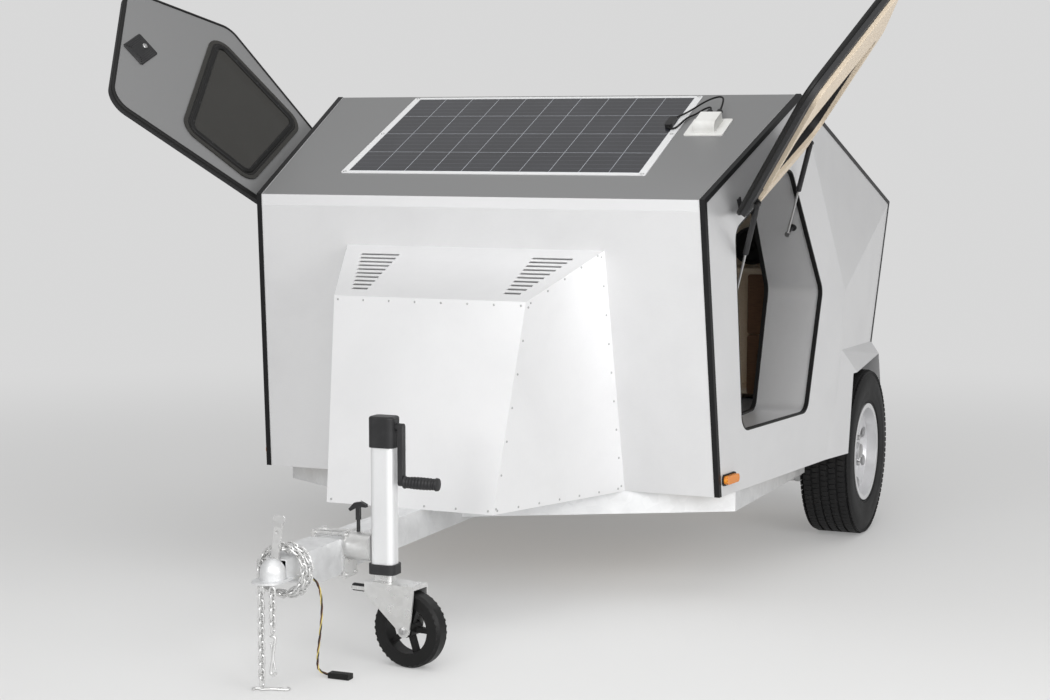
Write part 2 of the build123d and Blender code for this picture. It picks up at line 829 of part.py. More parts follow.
# solar panel, junction box and cable gland on the front roof; x runs up the slope, y to the left
roof_frame = Plane(origin=v(0, 0, front_top_z), x_dir=v(apex_x, 0, apex_z - front_top_z), z_dir=roof_front_plane.z_dir)


def on_roof(up, y, size_up, size_y, low, high, corner):
    """Rounded plate on the roof, its y measured to the left."""
    face = Rectangle(size_up, size_y)
    face = fillet(face.vertices(), corner)
    side = 1 if roof_frame.y_dir.Y > 0 else -1
    return roof_frame * extrude(Pos(up, side * y, low) * face, high - low)


solar_panel = on_roof(panel_front + panel_length / 2, panel_shift, panel_length, 2 * panel_half, 0, panel_thick,
                      panel_corner)
junction = on_roof(junction_up, junction_y, junction_length, junction_width, panel_thick,
                   panel_thick + junction_height, junction_width / 3)
gland = on_roof(gland_up, gland_y, gland_length, gland_width, 0, gland_base, panel_corner)
side = 1 if roof_frame.y_dir.Y > 0 else -1
hump = block(gland_up - gland_hump_up / 2, gland_up + gland_hump_up / 2, -gland_hump_across / 2, gland_hump_across / 2,
             gland_base, gland_height)
hump = fillet(hump.edges().filter_by(Axis.Y).sort_by(Axis.X)[0:2].sort_by(Axis.Z)[-1:], gland_round)
solar_boxes = gland + roof_frame * Pos(0, side * gland_y, 0) * hump
nuts = []
for shift in (-nut_space, nut_space):
    low = v(gland_up + gland_hump_up / 2 - gland_round, side * (gland_y + shift), nut_z)
    nuts.append(roof_frame * rod(low, low + v(nut_length, 0, 0), nut_r) - solar_boxes)
solar_fittings = group(junction, *nuts)

def cord(points, r):
    """Tube along straight runs joined by tangent arcs as large as the runs allow."""
    spots = [Vector(*p) for p in points]
    radii = []
    for a, b, c in zip(spots, spots[1:], spots[2:]):
        turn = math.radians((b - a).get_angle(c - b))
        radii.append(corner_share * min((b - a).length, (c - b).length) / math.tan(turn / 2))
    path = FilletPolyline(*spots, radius=radii)
    start = Plane(origin=spots[0], z_dir=spots[1] - spots[0])
    return sweep(start * Circle(r), path)


solar_leads = []
for route in lead_routes:
    spots = [roof_frame.from_local_coords(v(up, side * y, z)) for up, y, z in route]
    solar_leads.append(cord(spots, lead_r))
solar_leads = group(*solar_leads)

# side markers and tail lamps, each a lens on a rubber base
marker_spot = on_plane(side_plane, marker_x, marker_z)
marker_frame = Plane(origin=marker_spot, x_dir=v(-1, 0, 0), z_dir=side_plane.z_dir)


def lamp(width, height, low, high, corner):
    face = Rectangle(width, height)
    return extrude(Pos(0, 0, low) * fillet(face.vertices(), corner), high - low)


marker_base = marker_frame * lamp(marker_length, marker_height, 0, lamp_base, marker_height / 3)
marker_lens = marker_frame * lamp(marker_length - 2 * lamp_base, marker_height - 2 * lamp_base, lamp_base, marker_thick,
                                  marker_height / 3)
lamp_bases = [marker_base, mirrored(marker_base)]
marker_lamps = group(marker_lens, mirrored(marker_lens))
tail_lamps = []
for y in (-tail_lamp_y, tail_lamp_y):
    foot = v(tuck_x, y, tail_lamp_z)
    seat = foot - v(lamp_base, 0, 0)
    lamp_bases.append(rod(foot, seat, tail_lamp_r))
    tail_lamps.append(rod(seat, foot - v(tail_lamp_thick, 0, 0), tail_lamp_r - lamp_base))
lamp_bases = group(*lamp_bases)
tail_lamps = group(*tail_lamps)

# cabin fittings: bulkhead, cabinet, speakers and mattress
inside = inner_part(inner_part(rest, inner_plane), opposite(inner_plane))
bulkhead = inside & block(bulkhead_x - wall, bulkhead_x, -inner_half, inner_half, 0, apex_z)
cabinet_x = bulkhead_x + cabinet_deep
cabinet = block(bulkhead_x, cabinet_x, -inner_half, inner_half, cabinet_low_z, cabinet_top_z)
cabinet = cabinet - block(bulkhead_x, cabinet_x + overrun, -cupboard_in, cupboard_in, cabinet_low_z + cabinet_board,
                          cabinet_top_z - cabinet_board)
cupboard_doors = []
door_top = cabinet_top_z - cabinet_board
middle = (cabinet_low_z + door_top) / 2
for low, high in [(cabinet_low_z, middle), (middle, door_top)]:
    door = block(cabinet_x, cabinet_x + cupboard_door, cupboard_in, inner_half - cabinet_board, low + contact,
                 high - cupboard_gap)
    door = fillet(door.edges().filter_by(Axis.X), cupboard_corner)
    cupboard_doors += [door, mirrored(door)]
cupboard_doors = group(*cupboard_doors)
speakers = []
for y in (-speaker_y, speaker_y):
    foot = v(bulkhead_x, y, speaker_z)
    ring = rod(foot, foot + v(speaker_thick, 0, 0), speaker_r)
    dish = Cone(speaker_r * cone_share, speaker_r - speaker_rim, speaker_thick)
    dish = Plane(origin=foot + v(speaker_thick, 0, 0), z_dir=v(1, 0, 0)) * dish
    speakers.append(ring - dish)
speakers = group(*speakers)
mattress_front_x = -mattress_front
mattress = block(bulkhead_x + contact, mattress_front_x, mattress_side - inner_half, inner_half - mattress_side,
                 floor_z + wall + contact, floor_z + wall + mattress_thick)
mattress = fillet(mattress.edges(), mattress_side)

# chassis: square spine out to the coupler, inner rails, guard rails, cross members and swept arms
spine_low = floor_z - beam
chassis = block(beam_tail_x, beam_nose_x, -beam / 2, beam / 2, spine_low, floor_z)
chassis = chassis - block(beam_tail_x - overrun, beam_nose_x + overrun, beam_wall - beam / 2, beam / 2 - beam_wall,
                          spine_low + beam_wall, floor_z - beam_wall)
rail_out = rail_in + rail_width
for side in (-1, 1):
    low, high = sorted((side * rail_in, side * rail_out))
    chassis = chassis + block(beam_tail_x, rail_front_x, low, high, rail_z, floor_z)
    low, high = sorted((side * (guard_out - guard_width), side * guard_out))
    chassis = chassis + block(guard_rear_x, rail_front_x, low, high, rail_z, floor_z)
    low, high = sorted((side * beam / 2, side * guard_out))
    for x in (rail_front_x - cross_width, guard_rear_x):
        chassis = chassis + block(x, x + cross_width, low, high, rail_z, floor_z)
    low, high = sorted((side * beam / 2, side * rail_out))
    for x in cross_stations:
        chassis = chassis + block(x, x + cross_width, low, high, rail_z, floor_z)
    arm_root = v(arm_root_x, side * beam / 2, rail_z)
    arm_tip = v(rail_front_x, side * guard_out, rail_z)
    arm_run = v(arm_width, 0, 0)
    points = [arm_root, arm_root - arm_run * arm_root_share, arm_tip - arm_run, arm_tip]
    arm = Solid.extrude(Face(Wire.make_polygon(points, close=True)), v(0, 0, floor_z - rail_z))
    chassis = chassis + arm
    low, high = sorted((side * rail_in, side * rail_out))
    chassis = chassis + block(axle_x - axle_tube / 2, axle_x + axle_tube / 2, low, high, spine_low, rail_z)

# suspension: torsion tube under the rails, trailing arms and spindles
wheel_y = tyre_out - tyre_width / 2
disc_y = tyre_out - disc_back
axle_z = spine_low - axle_tube / 2
arm_out = swing_arm_in + swing_arm_thick
axle = block(axle_x - axle_tube / 2, axle_x + axle_tube / 2, contact - swing_arm_in, swing_arm_in - contact,
             axle_z - axle_tube / 2, axle_z + axle_tube / 2)
arms = []
for side in (-1, 1):
    front = v(axle_x, side * swing_arm_in, axle_z)
    rear_end = v(wheel_x, side * swing_arm_in, tyre_r)
    run = (rear_end - front).normalized()
    normal = run.cross(across) * swing_arm_r
    web = Face(Wire.make_polygon([front + normal, rear_end + normal, rear_end - normal, front - normal], close=True))
    reach = v(0, side * swing_arm_thick, 0)
    arm = Solid.extrude(web, reach) + rod(front, front + reach, swing_arm_r) + rod(rear_end, rear_end + reach, swing_arm_r)
    spindle_end = v(wheel_x, side * disc_y, tyre_r)
    arm = arm + rod(rear_end + reach, spindle_end, spindle_r)
    arms.append(arm + rod(rear_end + reach, rear_end + reach * (1 + hub_flange_thick / swing_arm_thick), hub_flange_r))
suspension = group(axle, *arms)

# wheel about its axle: tyre with round grooves, and a rim with round windows
half_width = tyre_width / 2
tread_half = half_width * tread_share
bead_y = half_width * bead_share
flank_y = half_width * flank_y_share
flank_r = bead_r * flank_r_share


def ring(points):
    """Body of revolution about Y from radius and width points."""
    wire = Wire.make_polygon([v(r, y, 0) for r, y in points], close=True)
    return revolve(Face(wire), Axis.Y)


tyre = ring([
    (bead_r, -bead_y), (flank_r, -flank_y), (bead_r * flank_share, -half_width), (tyre_r - 2 * shoulder_drop, -tread_half),
    (tyre_r, -tread_half * crown_share), (tyre_r, tread_half * crown_share), (tyre_r - 2 * shoulder_drop, tread_half),
    (bead_r * flank_share, half_width), (flank_r, flank_y), (bead_r, bead_y),
])
barrel_r = bead_r - contact
lip_in = bead_y + (rim_lip_r - barrel_r) * (flank_y - bead_y) / (flank_r - bead_r) + contact
lip_out = lip_in + rim_thick
inner_r = barrel_r - rim_thick
disc_face = disc_y - wheel_y
rim = ring([
    (inner_r, -lip_out), (rim_lip_r, -lip_out), (rim_lip_r, -lip_in), (barrel_r, -bead_y),
    (barrel_r, bead_y), (rim_lip_r, lip_in), (rim_lip_r, lip_out), (inner_r, lip_out),
])
rim = rim + ring([(spindle_r, disc_face), (hub_r, disc_face), (hub_r * boss_share, disc_face - disc_thick),
                  (spoke_ring_r, disc_face - disc_thick), (inner_r + rim_thick / 2, disc_face),
                  (inner_r + rim_thick / 2, disc_face - disc_thick), (spoke_ring_r, disc_face - 2 * disc_thick),
                  (spindle_r, disc_face - 2 * disc_thick)])
hub_in = swing_arm_in + swing_arm_thick + hub_flange_thick + hub_play - wheel_y
rim = rim + rod(v(0, hub_in, 0), v(0, disc_face, 0), hub_r * hub_tube_share)
rim = rim + rod(v(0, disc_face, 0), v(0, disc_face + hub_cap_out, 0), hub_cap_r)
rim = rim - rod(v(0, hub_in - overrun, 0), v(0, disc_face + contact, 0), spindle_r + contact)
for i in range(spoke_count):
    turn = Rot(0, 360 * (i + 0.5) / spoke_count, 0)
    spot = v(spoke_ring_r + spoke_hole_r * hole_step_share, 0, 0)
    rim = rim - turn * rod(spot - v(0, half_width, 0), spot + v(0, half_width, 0), spoke_hole_r)
at_left_wheel = Pos(wheel_x, wheel_y, tyre_r)
tyre_left = at_left_wheel * tyre
rim_left = at_left_wheel * rim

# coupler: square sleeve, tapering neck, dome over the ball and a flat flange
spine_z = (floor_z + spine_low) / 2
sleeve_in = beam
neck_z = ball_z + neck_front_height / 8


def neck(grow):
    rear_face = Plane(origin=v(sleeve_front_x, 0, spine_z), x_dir=across, z_dir=(1, 0, 0))
    front_face = Plane(origin=v(neck_front_x, 0, neck_z), x_dir=across, z_dir=(1, 0, 0))
    profiles = [rear_face * Rectangle(sleeve + grow, sleeve + grow),
                front_face * Rectangle(neck_front_width + grow, neck_front_height + grow)]
    return loft(Sketch() + profiles)


shell = block(sleeve_rear_x, sleeve_front_x, -sleeve / 2, sleeve / 2, spine_z - sleeve / 2, spine_z + sleeve / 2)
shell = shell - block(sleeve_rear_x - overrun, sleeve_front_x + overrun, -sleeve_in / 2, sleeve_in / 2,
                      spine_z - sleeve_in / 2, spine_z + sleeve_in / 2)
shell = shell + (neck(0) - neck(-2 * neck_wall))
flange = block(sleeve_front_x, coupler_front_x, -flange_half, flange_half, flange_z, flange_z + flange_thick)
flange = fillet(flange.edges().filter_by(Axis.Z).sort_by(Axis.X)[-2:], flange_half * flange_nose_share)
ball_centre = v(ball_x, 0, ball_z)
dome = Sphere(dome_r).moved(Location(ball_centre)) + rod(v(ball_x, 0, flange_z), ball_centre, dome_r)
dome = dome & block(ball_x - dome_r, ball_x + dome_r, -dome_r, dome_r, flange_z, ball_z + dome_r)
socket_r = ball_r + socket_play
socket = Sphere(socket_r).moved(Location(ball_centre)) + rod(v(ball_x, 0, 0), ball_centre, socket_r)
coupler = shell + flange + dome - socket
lever_top = lever_top_z - neck_z
lever = block(-lever_thick / 2, lever_thick / 2, -lever_width / 2, lever_width / 2, 0, lever_top)
head = block(-lever_thick / 2, lever_thick / 2, -lever_head / 2, lever_head / 2, lever_top - lever_head_up, lever_top)
lever = lever + chamfer(head.edges().filter_by(Axis.X), lever_head_up / 4)
hole_z = lever_top - 2 * lever_head_up
lever = lever - rod(v(-lever_thick, 0, hole_z), v(lever_thick, 0, hole_z), lever_hole_r)
coupler_latch = Pos(lever_x, 0, neck_z) * Rot(0, -lever_lean, 0) * lever
coupler_latch = coupler_latch - dome - neck(0) - socket

# jack: clamp on the beam, swivel disc, outer tube with cap, crank
half_mount = mount_length / 2
plate_y = beam / 2
mount = block(jack_x - half_mount, jack_x + half_mount, plate_y, plate_y + mount_plate,
              spine_z - mount_height / 2, spine_z + mount_height / 2)
back = block(jack_x - half_mount, jack_x + half_mount, -plate_y - mount_plate, -plate_y,
             spine_z - mount_height / 2, spine_z + mount_height / 2)
jack_mount = [mount, back]
for dx in (-mount_bolt_x, mount_bolt_x):
    for dz in (-mount_bolt_z, mount_bolt_z):
        foot = v(jack_x + dx, -plate_y - 2 * mount_plate, spine_z + dz)
        jack_mount.append(rod(foot, foot + v(0, 2 * plate_y + 4 * mount_plate, 0), mount_bolt_r))
tube_in_y = jack_y - jack_tube_y / 2
disc = rod(v(jack_x, plate_y + mount_plate, swivel_z), v(jack_x, tube_in_y, swivel_z), swivel_r)
jack_mount = as_one(*jack_mount, disc)


def upright(width, depth, corner, low, high):
    face = Rectangle(width, depth)
    return Pos(jack_x, jack_y, low) * extrude(fillet(face.vertices(), corner), high - low)


bore_x = jack_tube_x - 2 * jack_wall
bore_y = jack_tube_y - 2 * jack_wall
jack_tube = upright(jack_tube_x, jack_tube_y, jack_corner, jack_foot_z, jack_top_z)
jack_tube = jack_tube - upright(bore_x, bore_y, jack_corner - jack_wall, jack_foot_z - overrun, jack_top_z - jack_wall)
cap_top = jack_top_z + jack_cap_height
jack_cap = upright(jack_tube_x + 2 * jack_cap_lap, jack_tube_y + 2 * jack_cap_lap, jack_corner, jack_top_z, cap_top)
jack_cap = fillet(jack_cap.faces().sort_by(Axis.Z)[-1].edges(), jack_cap_lap * 2)
crank_y = jack_y + jack_tube_y / 2 + jack_cap_lap
crank_in = crank_y + crank_hub
crank_out = crank_in + crank_thick
crank_low = crank_z - crank_length
crank = rod(v(jack_x, crank_y, crank_z), v(jack_x, crank_out, crank_z), crank_arm / 2)
crank = crank + block(jack_x - crank_arm / 2, jack_x + crank_arm / 2, crank_in, crank_out, crank_low, crank_z)
crank = crank + rod(v(jack_x, crank_in, crank_low), v(jack_x, crank_out, crank_low), crank_arm / 2)
grip_start = v(jack_x, crank_out, crank_low)
crank_grip = rod(grip_start, grip_start + v(0, grip_length, 0), grip_r)
collar = upright(jack_tube_x + 2 * collar_out, jack_tube_y + 2 * collar_out, jack_corner, collar_low, collar_top)
collar = collar - upright(jack_tube_x + contact, jack_tube_y + contact, jack_corner, 0, jack_top_z)
pull_foot = v(jack_x, pull_y, swivel_z + swivel_r - pull_stem_r)
pull_top = v(jack_x, pull_y, swivel_z + swivel_r + pull_up)
pull = rod(pull_foot, pull_top, pull_stem_r)
spots = [v(jack_x - pull_thick / 2, pull_y + dy, pull_top.Z + dz - pull_stem_r) for dy, dz in pull_outline]
pull = pull + Solid.extrude(Face(Wire.make_polygon(spots, close=True)), v(pull_thick, 0, 0)) - jack_mount
jack_head = group(jack_cap, crank_grip, collar, pull)

# sliding leg, fork and caster wheel; the fork is drawn trailing toward +X, then turned
leg_low = crown_top_z + contact
jack_leg = upright(bore_x - 2 * leg_play, bore_y - 2 * leg_play, jack_corner - jack_wall - leg_play,
                   leg_low, leg_low + leg_inside)
pin_foot = v(jack_x, jack_y, crown_low_z)
pin_room = v(0, 0, crown_top_z - crown_low_z + swivel_pin_up + contact)
jack_leg = jack_leg - rod(pin_foot, pin_foot + pin_room, swivel_pin_r + swivel_play)
fork_in = caster_width / 2 + fork_gap
fork_out = fork_in + fork_thick
crown = block(-fork_back, fork_front, -fork_out, fork_out, crown_low_z, crown_top_z)
fork = crown + rod(v(0, 0, crown_low_z), v(0, 0, crown_top_z + swivel_pin_up), swivel_pin_r)
for side in (-1, 1):
    points = [v(-fork_back, side * fork_in, crown_top_z), v(fork_front, side * fork_in, crown_top_z),
              v(fork_front, side * fork_in, crown_low_z - fork_cheek),
              v(caster_trail + fork_eye_r, side * fork_in, caster_r), v(caster_trail - fork_eye_r, side * fork_in, caster_r),
              v(-fork_back, side * fork_in, crown_low_z - fork_cheek)]
    plate = Solid.extrude(Face(Wire.make_polygon(points, close=True)), v(0, side * fork_thick, 0))
    eye = rod(v(caster_trail, side * fork_in, caster_r), v(caster_trail, side * fork_out, caster_r), fork_eye_r)
    fork = fork + plate + eye
fork = fork + rod(v(caster_trail, -fork_out, caster_r), v(caster_trail, fork_out, caster_r), axle_r)
brake = block(-brake_to, -brake_from, -brake_width / 2, brake_width / 2, brake_z, brake_z + brake_thick)
strap = block(-fork_back, -brake_from, -fork_out, fork_out, brake_z, crown_top_z)
fork = fork + brake + strap
caster = ring([(caster_bead_r, -caster_width * caster_bead_share), (caster_r * caster_shoulder_share, -caster_width / 2), (caster_r, -caster_width * caster_tread_share),
               (caster_r, caster_width * caster_tread_share), (caster_r * caster_shoulder_share, caster_width / 2), (caster_bead_r, caster_width * caster_bead_share)])
hub = ring([(axle_r + contact, -caster_width / 2), (caster_hub_r, -caster_width / 2), (caster_hub_r, caster_width / 2),
            (axle_r + contact, caster_width / 2)])
felloe = ring([(caster_bead_r * felloe_share, -caster_width * caster_bead_share), (caster_bead_r, -caster_width * caster_bead_share),
               (caster_bead_r, caster_width * caster_bead_share), (caster_bead_r * felloe_share, caster_width * caster_bead_share)])
spokes = []
for i in range(caster_spokes):
    spoke = block(caster_hub_r * spoke_from_share, caster_bead_r * spoke_to_share, -caster_width / 6, caster_width / 6, -caster_hub_r / 3,
                  caster_hub_r / 3)
    spokes.append(Rot(0, 360 * i / caster_spokes, 0) * spoke)
caster = caster + felloe + hub
for spoke in spokes:
    caster = caster + spoke
turned = Pos(jack_x, jack_y, 0) * Rot(0, 0, caster_turn)
caster_fork = turned * fork
caster_wheel = turned * Pos(caster_trail, 0, caster_r) * caster

# chain: links lie along x, each a quarter turn from the last
def ring_link(length, width, wire):
    """Flat six-sided link in the xy plane."""
    end, half = length / 2, width / 2
    spots = [v(end, 0, 0), v(end - half, half, 0), v(half - end, half, 0), v(-end, 0, 0), v(half - end, -half, 0),
             v(end - half, -half, 0)]
    face = Face(Wire.make_polygon(spots, close=True)) - Rectangle(length - 3 * wire, width - 2 * wire)
    return Pos(0, 0, -wire / 2) * extrude(face, wire)


link = ring_link(link_length, link_width, link_wire)
pitch = link_length - 3 * link_wire - link_play
upright_link = Rot(0, 90, 0) * link
safety_chains = []
for y, count, hook_length in zip(chain_y, chain_link_count, hook_lengths):
    top = flange_z - link_play
    for i in range(count):
        place = Pos(chain_x, y, top - link_length / 2 - i * pitch)
        safety_chains.append(place * Rot(0, 0, 90 * (i % 2)) * upright_link)
    hook_top = top - link_length - (count - 1) * pitch
    hook = ring_link(hook_length, hook_width, hook_wire)
    if hook_top > hook_length:
        hook = Pos(chain_x, y, hook_top - link_play - hook_length / 2) * Rot(0, 90, 0) * hook
    else:
        hook = Pos(*hook_floor, hook_wire / 2 + contact) * Rot(0, 0, hook_turn) * hook
    safety_chains.append(hook)
for (x, y, z), count in zip(heap_loops, heap_link_count):
    reach = pitch / (2 * math.sin(math.pi / count))
    for i in range(count):
        turn = Rot(360 * i / count, 0, 0)
        safety_chains.append(Pos(x, y, z) * turn * Pos(0, 0, reach) * Rot(0, 90 * (i % 2), 0) * Rot(0, 0, 90) * link)
safety_chains = group(*safety_chains)

# tow wires and their flat plug
plug_x, plug_y, plug_z = tow_route[-1]
plug = block(plug_x - plug_width / 2, plug_x + plug_width / 2, plug_y, plug_y + plug_length, plug_z - plug_height / 2,
             plug_z + plug_height / 2)
tow_plug = fillet(plug.edges().filter_by(Axis.Y), plug_height / 4)
tow_wires = cord(tow_route, wire_r)


def save(solid, name):
    solid = Pos(-origin_x, 0, 0) * solid
    export_step(Compound(children=solid.solids()) if len(solid.solids()) > 1 else solid.solids()[0], f"parts/{name}.step")


origin_x = (rear_x + coupler_front_x) / 2
pieces = {
    "front_wall": front_wall, "roof_front": roof_front, "roof_rear": roof_rear, "floor": floor,
    "tail_panel": tail_panel, "hatch": hatch, "hatch_hardware": hatch_hardware,
    "roof_hinges": group(*roof_hinges), "edge_trim": edge_trim, "nose_box": nose_box,
    "solar_panel": solar_panel, "solar_boxes": solar_boxes, "solar_leads": solar_leads,
    "solar_fittings": solar_fittings,
    "lamp_bases": lamp_bases, "marker_lamps": marker_lamps, "tail_lamps": tail_lamps,
    "bulkhead": bulkhead, "cabinet": cabinet, "cupboard_doors": cupboard_doors,
    "speakers": speakers, "mattress": mattress, "chassis": chassis, "suspension": suspension,
    "coupler": coupler, "coupler_latch": coupler_latch, "jack_mount": jack_mount,
    "jack_tube": jack_tube, "jack_head": jack_head, "jack_crank": crank, "jack_leg": jack_leg,
    "caster_fork": caster_fork, "caster_wheel": caster_wheel, "safety_chains": safety_chains,
    "tow_wires": tow_wires, "tow_plug": tow_plug,
}
handed = {
    "side_wall": side_wall_left, "side_rear": side_rear_left, "opening_seal": seals_left,
    "door": door_left, "door_glass": glass_left, "door_liner": liner_left,
    "door_hardware": door_hardware_left, "door_mounts": door_mounts_left,
    "strut_tubes": strut_tubes_left, "strut_rods": strut_rods_left, "tyre": tyre_left, "rim": rim_left,
}
for name, solid in pieces.items():
    save(solid, name)
for name, solid in handed.items():
    save(solid, name + "_left")
    save(mirrored(solid), name + "_right")
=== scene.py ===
"""Looks of a faceted teardrop camping trailer with gull-wing doors.

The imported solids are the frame. Each sub-assembly below dresses its own solids and adds the pieces
that a plain solid lacks: rivets, tyre tread, window gaskets, chain links, wires and the mattress.
Sizes are in metres in the row's frame: X forward to the coupler, Y to the left, Z up from the ground.
"""

import json
import logging
import math
from dataclasses import dataclass, field
from enum import Enum
from typing import Iterable, Sequence

import bpy
from mathutils import Matrix, Vector, geometry

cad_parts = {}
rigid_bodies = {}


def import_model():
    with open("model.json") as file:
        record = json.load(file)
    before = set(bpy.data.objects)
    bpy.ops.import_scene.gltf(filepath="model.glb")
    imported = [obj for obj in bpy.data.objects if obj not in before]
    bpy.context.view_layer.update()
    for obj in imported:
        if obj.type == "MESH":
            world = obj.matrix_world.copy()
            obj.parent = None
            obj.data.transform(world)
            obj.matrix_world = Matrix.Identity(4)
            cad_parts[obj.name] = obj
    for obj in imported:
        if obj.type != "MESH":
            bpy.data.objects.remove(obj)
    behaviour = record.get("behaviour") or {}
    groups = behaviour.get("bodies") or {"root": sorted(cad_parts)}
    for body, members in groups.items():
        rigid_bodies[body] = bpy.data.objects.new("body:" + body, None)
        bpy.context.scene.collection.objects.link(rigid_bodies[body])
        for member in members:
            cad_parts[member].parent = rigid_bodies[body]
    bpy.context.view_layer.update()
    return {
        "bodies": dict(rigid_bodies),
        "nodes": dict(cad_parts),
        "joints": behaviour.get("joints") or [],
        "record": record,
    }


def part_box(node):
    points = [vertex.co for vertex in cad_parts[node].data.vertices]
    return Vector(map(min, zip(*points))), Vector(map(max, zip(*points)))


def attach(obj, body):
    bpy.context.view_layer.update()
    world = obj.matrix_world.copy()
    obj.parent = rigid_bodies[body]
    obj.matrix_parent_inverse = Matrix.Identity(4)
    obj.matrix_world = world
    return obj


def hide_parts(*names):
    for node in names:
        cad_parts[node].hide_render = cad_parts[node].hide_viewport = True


LOG = logging.getLogger("trailer")

Colour = tuple[float, float, float]
Point = tuple[float, float, float]

ORIGIN_X = 0.4595  # the front wall's top edge lies this far ahead of the row's origin
ROOF_EDGE_Z = 1.440  # height of that edge
ROOF_RUN, ROOF_RISE = 0.91355, 0.40674  # the front roof's slope, back and up
ROOF_OUT = (ROOF_RISE, 0.0, ROOF_RUN)  # the way out of the front roof
# Painted reflection: the roof and the doors are the same silver sheet as the body, and this dark grey paints in the
# reflection of a dark ceiling. The marks' colour is for real handling marks, darkened to match that painted
# reflection.
ROOF_PAINTED_REFLECTION_GREY = (0.285, 0.286, 0.288)
ROOF_MARKS_IN_PAINTED_REFLECTION = (0.2, 0.2, 0.21)
FOOT, UPRIGHT = (0, 0, 0), (0, 0, 1)  # place and axis of a pattern that is repeated later
SMOOTH_ANGLE = math.radians(40)
QUARTER = math.radians(90)


class Side(Enum):
    """The trailer's two sides, with the sign of Y there."""

    LEFT = 1
    RIGHT = -1

    @property
    def word(self) -> str:
        """The side's name in lower case, as the nodes use it."""
        return self.name.lower()

    def at(self, point: Sequence[float]) -> Vector:
        """A point of the left side, moved to this side."""
        return Vector((point[0], self.value * point[1], point[2]))


class Socket(Enum):
    """Kinds of node group sockets."""

    VALUE = "NodeSocketFloat"
    VECTOR = "NodeSocketVector"


@dataclass
class GroupMaker:
    """Builds one shader node group with named sockets."""

    name: str
    tree: bpy.types.ShaderNodeTree = field(init=False)

    def __post_init__(self) -> None:
        """Start an empty group with its input and output nodes."""
        self.tree = bpy.data.node_groups.new(self.name, "ShaderNodeTree")
        self.inputs = self.tree.nodes.new("NodeGroupInput")
        self.outputs = self.tree.nodes.new("NodeGroupOutput")

    def socket(self, name: str, kind: Socket, default: object = None, out: bool = False) -> None:
        """Add a named socket to the group.

        Args:
            name: The socket's name.
            kind: Value or vector.
            default: Starting value of an input.
            out: True for an output.
        """
        made = self.tree.interface.new_socket(name, in_out="OUTPUT" if out else "INPUT", socket_type=kind.value)
        if default is not None:
            made.default_value = default

    def node(self, kind: str, links: dict[str, object] | None = None, **settings: object) -> bpy.types.Node:
        """Add a node, set it up and feed its inputs.

        Args:
            kind: The node's type name.
            links: Input name or index to a socket or a constant.
            settings: Attributes of the node.

        Returns:
            The new node.
        """
        made = self.tree.nodes.new(kind)
        for key, value in settings.items():
            setattr(made, key, value)
        for key, value in (links or {}).items():
            plug = made.inputs[key]
            if isinstance(value, bpy.types.NodeSocket):
                self.tree.links.new(value, plug)
            else:
                plug.default_value = value
        return made

    def give(self, name: str, source: bpy.types.NodeSocket) -> None:
        """Feed one of the group's outputs."""
        self.tree.links.new(source, self.outputs.inputs[name])


